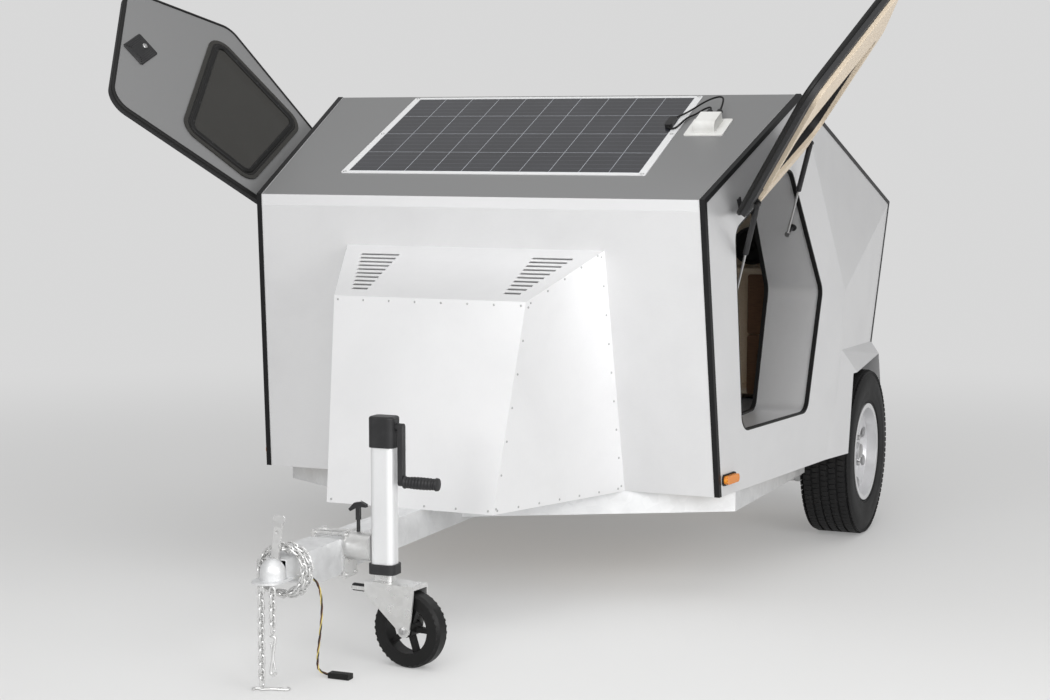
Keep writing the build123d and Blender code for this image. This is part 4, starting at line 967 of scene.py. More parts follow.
@dataclass
class Fittings:
    """Takes a finished new piece into the model: material, body and log line."""

    finishes: Finishes

    def fit(self, piece: bpy.types.Object, finish: str, body: str = "trailer", slot: str | None = None,
            replaces: Sequence[str] = ()) -> bpy.types.Object:
        """Dress a piece, let it ride on its body and report it.

        Args:
            piece: The finished piece, its place in its mesh.
            finish: The material's name.
            body: The body that carries it.
            slot: Not used.
            replaces: CAD nodes that it stands for.

        Returns:
            The piece.
        """
        self.finishes.put(piece, finish, slot)
        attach(piece, body)
        if replaces:
            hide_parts(*replaces)
        LOG.info("%s: %d faces on %s", piece.name, len(piece.data.polygons), body)
        return piece


@dataclass
class Studio:
    """Camera, floor, lights and background."""

    eye: Point = (7.15543, 3.06446, 1.66049)
    heading: float = 23.06
    pitch: float = 6.0
    roll: float = 0.05
    lens: float = 70.09
    sensor: float = 36.0
    floor_colour: Colour = (0.74, 0.74, 0.735)
    far_grey: float = 0.69
    lift: float = 0.3  # share of plain tone in the floor near the trailer, where the photograph's shadow is faint
    fade_from: float = 2.5
    fade_to: float = 9.0
    fade_centre: Point = (1.2, 0.8, 0.0)
    floor_half: float = 60.0
    floor_roughness: float = 0.75
    floor_sheen: float = 0.1
    fill: float = 0.46
    far_clip: float = 200.0

    def camera(self) -> bpy.types.Object:
        """Set the camera where the photograph was taken.

        Returns:
            The camera.
        """
        data = bpy.data.cameras.new("photograph")
        data.lens = self.lens
        data.sensor_width = self.sensor
        data.clip_end = self.far_clip
        camera = bpy.data.objects.new("photograph", data)
        bpy.context.scene.collection.objects.link(camera)
        turn, dip = math.radians(self.heading), math.radians(self.pitch)
        look = Vector((-math.cos(turn) * math.cos(dip), -math.sin(turn) * math.cos(dip), -math.sin(dip)))
        aimed = look.to_track_quat("-Z", "Y").to_matrix().to_4x4()
        roll = Matrix.Rotation(math.radians(self.roll), 4, "Z")
        camera.matrix_world = Matrix.Translation(Vector(self.eye)) @ aimed @ roll
        bpy.context.scene.camera = camera
        return camera

    def floor(self) -> bpy.types.Object:
        """Lay the plain floor, pale to the camera and grey to the light.

        Returns:
            The floor.
        """
        Bench.clear()
        bpy.ops.mesh.primitive_plane_add(size=2 * self.floor_half, location=(0, 0, 0))
        floor = Bench.settle(Bench.named("floor_sheet"))
        material = bpy.data.materials.new("studio_floor")
        material.use_nodes = True
        tree = material.node_tree
        shader = tree.nodes["Principled BSDF"]
        shader.inputs["Base Color"].default_value = (*self.floor_colour, 1)
        shader.inputs["Roughness"].default_value = self.floor_roughness
        shader.inputs["Specular IOR Level"].default_value = self.floor_sheen
        place = tree.nodes.new("ShaderNodeTexCoord")
        away = tree.nodes.new("ShaderNodeVectorMath")
        away.operation = "DISTANCE"
        away.inputs[1].default_value = self.fade_centre
        tree.links.new(place.outputs["Object"], away.inputs[0])
        fade = tree.nodes.new("ShaderNodeMapRange")
        fade.interpolation_type = "SMOOTHSTEP"
        fade.inputs["From Min"].default_value = self.fade_from
        fade.inputs["From Max"].default_value = self.fade_to
        fade.inputs["To Min"].default_value = self.lift
        tree.links.new(away.outputs["Value"], fade.inputs["Value"])
        plain = tree.nodes.new("ShaderNodeEmission")
        plain.inputs["Color"].default_value = (self.far_grey, self.far_grey, self.far_grey, 1)
        both = tree.nodes.new("ShaderNodeMixShader")
        tree.links.new(fade.outputs[0], both.inputs[0])
        tree.links.new(shader.outputs[0], both.inputs[1])
        tree.links.new(plain.outputs[0], both.inputs[2])
        tree.links.new(both.outputs[0], tree.nodes["Material Output"].inputs["Surface"])
        floor.data.materials.append(material)
        return floor

    def light(self, name: str, place: Point, target: Point, size: tuple[float, float], power: float) -> None:
        """Hang one soft lamp that looks at a point.

        Args:
            name: The lamp's name.
            place: Where it hangs.
            target: What it looks at.
            size: Width and height of its face.
            power: Power in watts.
        """
        data = bpy.data.lights.new(name, "AREA")
        data.shape = "RECTANGLE"
        data.size, data.size_y = size
        data.energy = power
        lamp = bpy.data.objects.new(name, data)
        lamp.location = place
        lamp.rotation_mode = "QUATERNION"
        lamp.rotation_quaternion = (Vector(target) - Vector(place)).to_track_quat("-Z", "Y")
        bpy.context.scene.collection.objects.link(lamp)

    def surround(self) -> None:
        """Set the world: the plain backdrop's grey to the camera, a soft fill as light."""
        world = bpy.data.worlds.new("studio_world")
        bpy.context.scene.world = world
        world.use_nodes = True
        tree = world.node_tree
        tree.nodes.clear()
        out = tree.nodes.new("ShaderNodeOutputWorld")
        back = tree.nodes.new("ShaderNodeBackground")
        rays = tree.nodes.new("ShaderNodeLightPath")
        strength = tree.nodes.new("ShaderNodeMix")
        strength.inputs[2].default_value = self.fill
        strength.inputs[3].default_value = self.far_grey
        tree.links.new(rays.outputs["Is Camera Ray"], strength.inputs[0])
        tree.links.new(strength.outputs[0], back.inputs["Strength"])
        back.inputs["Color"].default_value = (1, 1, 1, 1)
        tree.links.new(back.outputs[0], out.inputs["Surface"])

    def build(self) -> None:
        """Set up the whole studio."""
        scene = bpy.context.scene
        scene.view_settings.view_transform = "Standard"
        self.floor()
        self.surround()
        self.light("overhead_soft", (1.0, 0.5, 6.5), (-0.4, 0, 0.8), (7.0, 6.0), 120.0)
        self.light("left_soft", (4.6, 6.5, 2.6), (0.0, 0.6, 0.8), (4.0, 4.0), 300.0)
        self.light("front_soft", (9.0, 2.0, 4.6), (0.6, 0, 0.7), (7.0, 5.0), 470.0)


@dataclass
class FlowingLine:
    """One flowing NURBS line through a route's control points."""

    name: str
    points: Sequence[Sequence[float]]
    radius: float

    def curve(self) -> bpy.types.Object:
        """Lay the line as a round cord.

        Returns:
            The curve's object.
        """
        curve = bpy.data.curves.new(self.name, "CURVE")
        curve.dimensions = "3D"
        curve.bevel_depth = self.radius
        curve.bevel_resolution = 4
        curve.use_fill_caps = True
        spline = curve.splines.new("NURBS")
        spline.points.add(len(self.points) - 1)
        for spot, point in zip(spline.points, self.points):
            spot.co = (*point, 1.0)
        spline.order_u = 3
        spline.use_endpoint_u = True
        spline.resolution_u = 12
        piece = bpy.data.objects.new(self.name, curve)
        bpy.context.scene.collection.objects.link(piece)
        return piece

    @staticmethod
    def spots(piece: bpy.types.Object) -> list[Vector]:
        """Points of a curve's own smooth line, read from its spline."""
        bare = piece.data.copy()
        bare.bevel_depth = 0.0
        twin = bpy.data.objects.new("line_measure", bare)
        bpy.context.scene.collection.objects.link(twin)
        bpy.context.view_layer.update()
        mesh = bpy.data.meshes.new_from_object(twin.evaluated_get(bpy.context.evaluated_depsgraph_get()))
        found = [vertex.co.copy() for vertex in mesh.vertices]
        bpy.data.objects.remove(twin)
        bpy.data.meshes.remove(mesh)
        return found

    @staticmethod
    def length(piece: bpy.types.Object) -> float:
        """Length of a curve's own smooth line."""
        found = FlowingLine.spots(piece)
        return sum((b - a).length for a, b in zip(found, found[1:]))


@dataclass
class TowWires:
    """The loose bundle of thin wires from the tongue down to its plug on the floor."""

    radius: float = 0.004
    route: tuple[Point, ...] = (
        (1.7895, 0.0486, 0.330), (1.7895, 0.092, 0.326), (1.7735, 0.104, 0.250), (1.7515, 0.084, 0.150),
        (1.7315, 0.060, 0.056), (1.7285, 0.062, 0.0093), (1.7285, 0.104, 0.0093),
    )
    strands: tuple[tuple[str, float, float], ...] = (
        ("wire_brown", 0.0018, 0.0), ("wire_black", 0.0018, 2.1), ("wire_yellow", 0.0016, 4.2),
    )
    twists: float = 5.0

    def strand(self, path: Sequence[Vector], name: str, radius: float, start: float) -> bpy.types.Object:
        """One wire, wound loosely round the bundle's line.

        Args:
            path: Points of the bundle's line.
            name: The wire's name.
            radius: Its radius.
            start: Angle at which it starts.

        Returns:
            The wire's mesh.
        """
        points = []
        side = Vector((1, 0, 0))
        for i, spot in enumerate(path):
            ahead = (path[min(i + 1, len(path) - 1)] - path[max(i - 1, 0)]).normalized()
            side = (side - ahead * side.dot(ahead)).normalized()
            turn = start + self.twists * 2 * math.pi * i / (len(path) - 1)
            off = self.radius - radius
            points.append(spot + (side * math.cos(turn) + ahead.cross(side) * math.sin(turn)) * off)
        return Bench.bar(name, points, radius, False, sides=2)

    def build(self, fittings: Fittings, nodes: dict[str, bpy.types.Object]) -> None:
        """Args:
            fittings: Takes the pieces in.
            nodes: Not used.
        """
        line = FlowingLine("tow_wire_line", self.route, self.radius).curve()
        path = FlowingLine.spots(line)
        length = FlowingLine.length(line)
        bpy.data.objects.remove(line)
        made = []
        for name, radius, start in self.strands:
            wire = self.strand(path, name, radius, start)
            wire.data.materials.clear()
            wire.data.materials.append(fittings.finishes[name])
            made.append(wire)
        piece = Bench.joined("tow_wire_bundle", made)
        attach(piece, "trailer")
        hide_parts("tow_wires")
        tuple(self.route[0])
        LOG.info("tow wires laid, %.3f m", length)


@dataclass
class SolarLead:
    """One black lead from the roof gland to the panel's junction box, laid over the roof's slope."""

    name: str
    route: tuple[Point, ...]
    radius: float = 0.0035

    def spot(self, point: Point) -> Vector:
        """Turn a point up the slope, to the left and off the roof into the row's frame."""
        up, left, off = point
        ahead, height = ROOF_RISE * off - ROOF_RUN * up, ROOF_RISE * up + ROOF_RUN * off
        return Vector((ORIGIN_X + ahead, left, ROOF_EDGE_Z + height))

    def build(self, fittings: Fittings) -> bpy.types.Object:
        """Args:
            fittings: Takes the piece in.

        Returns:
            The lead's curve.
        """
        piece = FlowingLine(self.name, [self.spot(point) for point in self.route], self.radius).curve()
        piece.data.materials.append(fittings.finishes["rubber"])
        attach(piece, "trailer")
        self.spot(self.route[0])
        round(FlowingLine.length(piece), 3)
        LOG.info("%s laid", self.name)
        return piece


@dataclass
class SolarLeads:
    """The two leads beside the solar panel."""

    leads: tuple[SolarLead, ...] = (
        SolarLead("solar_lead_front", (
            (0.707, 0.731, 0.024), (0.760, 0.731, 0.038), (0.806, 0.716, 0.042), (0.818, 0.676, 0.032),
            (0.796, 0.640, 0.022), (0.740, 0.614, 0.018), (0.704, 0.586, 0.012), (0.6815, 0.563, 0.010),
        )),
        SolarLead("solar_lead_rear", (
            (0.707, 0.693, 0.024), (0.736, 0.693, 0.030), (0.740, 0.664, 0.022), (0.716, 0.630, 0.007),
            (0.690, 0.606, 0.007), (0.620, 0.596, 0.007), (0.586, 0.590, 0.008), (0.582, 0.566, 0.009),
            (0.5995, 0.559, 0.010),
        )),
    )

    def build(self, fittings: Fittings) -> None:
        """Lay both leads and hide the CAD node."""
        pieces = [lead.build(fittings) for lead in self.leads]
        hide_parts("solar_leads")


@dataclass
class Probe:
    """Finds spots on a node's surface by looking at it from outside."""

    node: bpy.types.Object
    reach: float = 0.3

    def hit(self, point: Sequence[float], outward: Sequence[float]) -> tuple[Vector, Vector]:
        """The surface under a point, or nearest to it where none lies straight under it.

        Args:
            point: A point near the surface.
            outward: The way out of it.

        Returns:
            The spot on the surface and the surface's direction there.
        """
        out = Vector(outward).normalized()
        found, spot, normal, _ = self.node.ray_cast(Vector(point) + out * self.reach, -out, distance=2 * self.reach)
        if not found:
            _, spot, normal, _ = self.node.closest_point_on_mesh(Vector(point))
        return spot, normal


@dataclass(frozen=True)
class RivetRow:
    """Evenly spaced rivets between two points, seen from one way."""

    start: Point
    end: Point
    outward: Point
    count: int

    def spots(self) -> list[Vector]:
        """Points along the row."""
        a, b = Vector(self.start), Vector(self.end)
        return [a.lerp(b, i / (self.count - 1)) for i in range(self.count)]


@dataclass
class NoseRivets:
    """Blind rivets along the folds and edges of the nose box."""

    radius: float = 0.0042
    front: tuple[RivetRow, ...] = (
        RivetRow((0.8135, -0.350, 1.086), (0.8135, 0.350, 1.086), (1, 0, 0.2), 8),
        RivetRow((0.974, -0.298, 0.404), (0.974, 0.298, 0.404), (1, 0, 0.2), 6),
    )
    side: tuple[RivetRow, ...] = (
        RivetRow((0.802, 0.374, 1.080), (0.962, 0.326, 0.410), (0.5, 1, 0), 7),
        RivetRow((0.955, 0.326, 0.404), (0.385, 0.540, 0.404), (0.5, 1, 0), 7),
        RivetRow((0.455, 0.500, 1.235), (0.370, 0.548, 0.412), (0.5, 1, 0), 9),
        RivetRow((0.790, 0.376, 1.094), (0.470, 0.490, 1.240), (0.5, 1, 0), 5),
    )

    def places(self, probe: Probe) -> Iterable[Matrix]:
        """Where each rivet's head sits.

        Args:
            probe: Looks at the nose box.

        Yields:
            One placement for each rivet.
        """
        for row in self.front:
            for spot in row.spots():
                yield Bench.facing(*probe.hit(spot, row.outward))
        for side in Side:
            for row in self.side:
                for spot in row.spots():
                    yield Bench.facing(*probe.hit(side.at(spot), side.at(row.outward)))

    def build(self, fittings: Fittings, nodes: dict[str, bpy.types.Object]) -> None:
        """Model one head and set it along every row.

        Args:
            fittings: Takes the pieces in.
            nodes: The CAD nodes by name.
        """
        r = self.radius
        head = Bench.turned("nose_rivet", ((r, -0.001), (r, 0.0005), (r * 0.8, 0.0014), (r * 0.3, 0.0018)),
                            FOOT, UPRIGHT, segments=12)
        heads = Bench.repeated("nose_rivets", head, self.places(Probe(nodes["nose_box"])))
        fittings.fit(heads, "steel")


@dataclass
class Outline:
    """The flat outer outline of a node, in its own plane."""

    node: bpy.types.Object
    out: Vector
    shortest: float = 0.0004  # edges shorter than this are left out
    sharpest: float = 0.5  # an inset corner moves no further than at this bend

    def __post_init__(self) -> None:
        """Set up the plane and find the outer face's height."""
        self.across = self.out.orthogonal().normalized()
        self.up = self.out.cross(self.across)
        self.top = max(vertex.co.dot(self.out) for vertex in self.node.data.vertices)

    @staticmethod
    def normal_of(node: bpy.types.Object, away: Vector) -> Vector:
        """Direction of a node's largest face, on the side away from a point."""
        largest = max(node.data.polygons, key=lambda face: face.area)
        normal = largest.normal.copy()
        return normal if (largest.center - away).dot(normal) > 0 else -normal

    @classmethod
    def way_out(cls, nodes: dict[str, bpy.types.Object], word: str) -> Vector:
        """Direction of a door's outer face, away from its liner."""
        low, high = (Vector(corner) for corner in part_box(f"door_liner_{word}"))
        return cls.normal_of(nodes[f"door_{word}"], (low + high) / 2)

    def corners(self, inset: float, lift: float) -> list[Vector]:
        """Points round the outline.

        Args:
            inset: How far inside the outline they lie.
            lift: How far off the outer face.

        Returns:
            The points, in order.
        """
        flat = [Vector((v.co.dot(self.across), v.co.dot(self.up))) for v in self.node.data.vertices]
        ring = [flat[i] for i in geometry.convex_hull_2d(flat)]
        ring = [p for p, q in zip(ring, ring[-1:] + ring[:-1]) if (p - q).length > self.shortest]
        moved = []
        for before, here, after in zip(ring[-1:] + ring[:-1], ring, ring[1:] + ring[:1]):
            first, second = (here - before).normalized(), (after - here).normalized()
            inward = Vector((-(first.y + second.y), first.x + second.x)).normalized()
            bend = max(self.sharpest, inward.dot(Vector((-first.y, first.x))))
            moved.append(here + inward * (inset / bend))
        return [self.across * p.x + self.up * p.y + self.out * (self.top + lift) for p in moved]

    @staticmethod
    def spaced(points: Sequence[Vector], count: int) -> list[Vector]:
        """Points at equal distances round a closed outline."""
        runs = [(a, b, (b - a).length) for a, b in zip(points, list(points[1:]) + [points[0]])]
        total = sum(length for _, _, length in runs)
        found = []
        for i in range(count):
            left = total * (i + 0.5) / count
            for a, b, length in runs:
                if left <= length:
                    found.append(a.lerp(b, left / length))
                    break
                left -= length
        return found


@dataclass
class DoorTrim:
    """What a gull-wing door carries on its outside: edge bead, window gasket and screws."""

    side: Side
    bead: float = 0.009
    gasket: float = 0.008
    lap: float = 0.024
    screws: int = 14
    lips: tuple[tuple[str, float, float, float, float], ...] = (  # inset, share of the lift, drop, share of gasket
        ("outer", -0.004, 1.0, 0.002, 1.0), ("inner", 0.009, 0.45, 0.0, 1.0), ("foot", 0.016, 0.0, 0.0, 0.8),
    )
    screw_inset: float = 0.016
    screw_lift: float = 0.0035
    screw: tuple[tuple[float, float], ...] = ((0.0045, 0), (0.0045, 0.002), (0.003, 0.0035), (0.001, 0.0037))

    def build(self, fittings: Fittings, nodes: dict[str, bpy.types.Object]) -> None:
        """Model the bead, the gasket's lips and the screws.

        Args:
            fittings: Takes the pieces in.
            nodes: The CAD nodes by name.
        """
        word, body = self.side.word, f"door_{self.side.word}"
        out = Outline.way_out(nodes, word)
        rim, pane = Outline(nodes[f"door_{word}"], out), Outline(nodes[f"door_glass_{word}"], out)
        bead = Bench.bar(f"door_bead_{word}", rim.corners(self.bead * 0.3, -self.bead * 0.6), self.bead, False, True)
        fittings.fit(bead, "rubber", body)
        lift = rim.top - pane.top
        lips = []
        for name, inset, share, drop, thick in self.lips:
            ring = pane.corners(self.lap + inset, lift * share - drop)
            lips.append(Bench.bar(f"gasket_{name}_{word}", ring, self.gasket * thick, False, True))
        fittings.fit(Bench.joined(f"window_gasket_{word}", lips), "rubber", body)
        head = Bench.turned(f"window_screw_{word}", self.screw, FOOT, UPRIGHT, segments=12)
        spots = Outline.spaced(pane.corners(self.lap + self.screw_inset, self.screw_lift), self.screws)
        screws = Bench.repeated(f"window_screws_{word}", head, [Bench.facing(spot, out) for spot in spots])
        fittings.fit(screws, "jack_black", body)


@dataclass
class Tyre:
    """Road tyre: a lathe-turned carcass with rows of tread blocks."""

    side: Side
    tread_deep: float = 0.007
    bead_share: float = 0.566
    blocks: int = 92
    block_share: float = 0.46
    block_foot: float = 0.004
    block_wear: float = 0.0007
    block_round: float = 0.0012
    skew: float = 8.0
    lug_share: float = 0.4
    lug_depth: tuple[float, float] = (-0.004, 0.0015)
    lug_reach: tuple[float, float] = (-0.012, 0.011)
    lug_round: float = 0.001
    lug_lean: float = 28.0
    lug_out: float = 0.45
    lug_down: float = 0.016
    rows: tuple[tuple[float, float, float], ...] = (
        (-0.345, 0.145, 0.0), (-0.168, 0.135, 0.5), (0.0, 0.135, 0.0), (0.168, 0.135, 0.5), (0.345, 0.145, 0.0),
    )

    def profile(self, radius: float, bead: float, width: float) -> list[tuple[float, float]]:
        """Section of the carcass, from bead to bead and back inside.

        Args:
            radius: The tyre's radius.
            bead: Radius of its seat on the rim.
            width: Its whole width.

        Returns:
            Radius and height of each station.
        """
        crown = radius - self.tread_deep
        flank = [
            (bead, 0.40), (bead + 0.010, 0.43), (bead + 0.013, 0.452), (bead + 0.018, 0.452), (bead + 0.022, 0.472),
            (bead + 0.052, 0.498), (bead + 0.060, 0.494), (bead + 0.064, 0.499), (bead + 0.090, 0.5),
            (bead + 0.112, 0.492), (bead + 0.116, 0.484), (radius - 0.024, 0.468), (radius - 0.014, 0.448),
            (crown, 0.412),
        ]
        outer = [(r, share * width) for r, share in flank]
        inner = [(r, -y) for r, y in reversed(outer)]
        return outer + inner + [(bead + 0.004, -0.30 * width), (bead + 0.004, 0.30 * width), outer[0]]

    def build(self, fittings: Fittings) -> None:
        """Turn the carcass, cut its tread and put it in the CAD tyre's place.

        Args:
            fittings: Takes the piece in.
        """
        word = self.side.word
        low, high = (Vector(corner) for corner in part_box(f"tyre_{word}"))
        centre, radius, width = (low + high) / 2, (high.z - low.z) / 2, high.y - low.y
        bead = radius * self.bead_share
        carcass = Bench.turned(f"tyre_carcass_{word}", self.profile(radius, bead, width), centre, (0, 1, 0), 96, 28)
        pitch = 2 * math.pi * radius / self.blocks
        rows = []
        for index, (share, wide, shift) in enumerate(self.rows):
            low_corner = (-pitch * self.block_share, -wide * width / 2, radius - self.tread_deep - self.block_foot)
            high_corner = (pitch * self.block_share, wide * width / 2, radius - self.block_wear)
            block = Bench.box(f"tread_block_{word}", low_corner, high_corner, self.block_round, 1)
            turns = [(i + shift) * 2 * math.pi / self.blocks for i in range(self.blocks)]
            drop = Matrix.Translation((0, share * width, 0))
            skew = Matrix.Rotation(math.radians(self.skew if index % 2 else -self.skew), 4, "Z")
            places = [Matrix.Translation(centre) @ Matrix.Rotation(turn, 4, "Y") @ drop @ skew for turn in turns]
            rows.append(Bench.repeated(f"tread_row_{index}_{word}", block, places))
        half = pitch * self.lug_share
        (inner, outer), (foot, tip) = self.lug_depth, self.lug_reach
        lugs = Bench.box(f"shoulder_lug_{word}", (-half, inner, foot), (half, outer, tip), self.lug_round, 1)
        places = []
        for hand in (1, -1):
            lean = Matrix.Rotation(math.radians(-self.lug_lean * hand), 4, "X")
            lift = Matrix.Translation((0, hand * (self.lug_out * width), radius - self.lug_down))
            places += [Matrix.Translation(centre) @ Matrix.Rotation((i + 0.25) * 2 * math.pi / self.blocks, 4, "Y")
                       @ lift @ lean for i in range(self.blocks)]
        rows.append(Bench.repeated(f"shoulder_lugs_{word}", lugs, places))
        tyre = Bench.joined(f"road_tyre_{word}", [carcass, *rows])
        fittings.fit(tyre, "tyre", f"wheel_{word}", replaces=[f"tyre_{word}"])


@dataclass
class WheelNuts:
    """Nuts and centre cap on the wheel's outer face."""

    side: Side
    ring: float = 0.057
    count: int = 5
    nut: tuple[tuple[float, float], ...] = ((0.0105, -0.002), (0.0105, 0.009), (0.008, 0.012), (0.003, 0.0135))
    cap: tuple[tuple[float, float], ...] = (
        (0.030, -0.001), (0.030, 0.002), (0.026, 0.0045), (0.015, 0.007), (0.002, 0.0078),
    )

    def build(self, fittings: Fittings, nodes: dict[str, bpy.types.Object]) -> None:
        """Turn one nut, repeat it and add a domed cap.

        Args:
            fittings: Takes the pieces in.
            nodes: The CAD nodes by name.
        """
        word, out = self.side.word, self.side.at((0, 1, 0))
        low, high = (Vector(corner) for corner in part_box(f"tyre_{word}"))
        centre = (low + high) / 2
        probe = Probe(nodes[f"rim_{word}"], 0.25)
        nut = Bench.turned(f"wheel_nut_{word}", self.nut, FOOT, UPRIGHT, segments=6, smooth=20)
        places = []
        for i in range(self.count):
            turn = 2 * math.pi * (i + 0.5) / self.count
            spot = centre + Vector((self.ring * math.cos(turn), 0, self.ring * math.sin(turn)))
            found, _ = probe.hit(spot, out)
            places.append(Bench.facing(found, out))
        fittings.fit(Bench.repeated(f"wheel_nuts_{word}", nut, places), "steel", f"wheel_{word}")
        face, _ = probe.hit(centre, out)
        cap = Bench.turned(f"hub_badge_free_cap_{word}", self.cap, face, out, 32)
        fittings.fit(cap, "steel", f"wheel_{word}")


@dataclass
class Chain:
    """Safety chains of welded round-wire links: two strands to their hooks and a heap on the neck."""

    wire: float = 0.0035
    length: float = 0.04269
    width: float = 0.025
    play: float = 0.0006
    slack: float = 0.005  # how far the heaped links lie off an even loop
    strand_x: float = 1.490 + ORIGIN_X
    strand_y: tuple[float, ...] = (-0.008, 0.031)
    links: tuple[int, ...] = (14, 6)
    top: float = 0.327
    loops: tuple[tuple[float, float, float, int], ...] = (
        (1.378 + ORIGIN_X, 0.0, 0.3459, 22), (1.350 + ORIGIN_X, 0.0, 0.3429, 24),
    )
    hook_lengths: tuple[float, ...] = (0.118, 0.128)
    hook_wire: float = 0.0045
    hook_width: float = 0.026
    hook_floor: tuple[float, float] = (1.471 + ORIGIN_X, 0.012)
    hook_turn: float = 113.0
    contact: float = 0.0003
    smooth: float = 60.0

    @property
    def pitch(self) -> float:
        """Distance from one link to the next."""
        return self.length - 6 * self.wire - self.play

    def link(self, name: str) -> bpy.types.Object:
        """Model one link, its long axis along X, lying in the XY plane."""
        half, bend = self.length / 2 - self.wire, self.width / 2 - self.wire
        arc = [math.radians(a) for a in range(-90, 91, 30)]
        right = [(half - bend + bend * math.cos(a), bend * math.sin(a), 0) for a in arc]
        left = [(-x, -y, 0) for x, y, _ in right]
        return Bench.bar(name, right + left, self.wire, False, True, sides=2)

    def hook(self, name: str, length: float) -> bpy.types.Object:
        """Model an open hook: an eye at one end, a long bend and a closing tongue, along X in the XY plane."""
        r, w, half = self.hook_wire, self.hook_width / 2 - self.hook_wire, length / 2 - self.hook_wire
        turns = [math.radians(degrees) for degrees in range(-90, 91, 30)]
        bend = [(half - w + w * math.cos(a), w * math.sin(a), 0) for a in turns]
        eye = [(-half + w - w * math.cos(a), -w * math.sin(a), 0) for a in turns[:-1]]
        shank = Bench.bar(name, eye[::-1] + bend, r, False, False, sides=3)
        tongue = Bench.bar(f"{name}_tongue", ((-half + 2.4 * w, -w * 0.9, 0), (half - w * 2.0, w * 0.86, 0)), r * 0.7,
                           False, False, sides=3)
        return Bench.joined(name, [shank, tongue])

    def strand_places(self) -> Iterable[Matrix]:
        """Placements of every link.

        Yields:
            One placement for each link of the strands and the loops.
        """
        stand = Matrix.Rotation(QUARTER, 4, "Y")
        for y, count in zip(self.strand_y, self.links):
            for i in range(count):
                down = self.top - self.play - self.length / 2 - i * self.pitch
                turn = Matrix.Rotation(QUARTER * (i % 2), 4, "Z")
                yield Matrix.Translation((self.strand_x, y, down)) @ turn @ stand
        for x, y, z, count in self.loops:
            reach = self.pitch / (2 * math.sin(math.pi / count))
            for i in range(count):
                turn = 2 * math.pi * i / count
                aside, inward = self.slack * math.sin(2.7 * turn + x), self.slack * math.cos(1.9 * turn)
                slack = Matrix.Translation((aside, 0, -inward))
                tilt = Matrix.Rotation(math.radians(90 * (i % 2) + 14 * math.sin(5 * turn)), 4, "Y")
                yield (Matrix.Translation((x, y, z)) @ Matrix.Rotation(turn, 4, "X") @ slack
                       @ Matrix.Translation((0, 0, reach)) @ tilt @ Matrix.Rotation(QUARTER, 4, "Z"))

    def build(self, fittings: Fittings) -> None:
        """Model the links and hooks in the CAD chain's place.

        Args:
            fittings: Takes the piece in.
        """
        chain = Bench.repeated("chain_links", self.link("chain_link"), self.strand_places())
        lying = self.hook("floor_hook", self.hook_lengths[0])
        lying.data.transform(Matrix.Translation((*self.hook_floor, self.hook_wire + self.contact))
                             @ Matrix.Rotation(math.radians(self.hook_turn), 4, "Z"))
        hung = self.hook("hung_hook", self.hook_lengths[1])
        foot = self.top - self.play - self.length - (self.links[1] - 1) * self.pitch
        middle = foot - self.play - self.hook_lengths[1] / 2
        hung.data.transform(Matrix.Translation((self.strand_x, self.strand_y[1], middle))
                            @ Matrix.Rotation(QUARTER, 4, "Y"))
        whole = Bench.joined("safety_chain_set", [chain, lying, hung])
        Bench.take(whole)
        bpy.ops.object.shade_smooth_by_angle(angle=math.radians(self.smooth))
        fittings.fit(whole, "zinc", replaces=["safety_chains"])


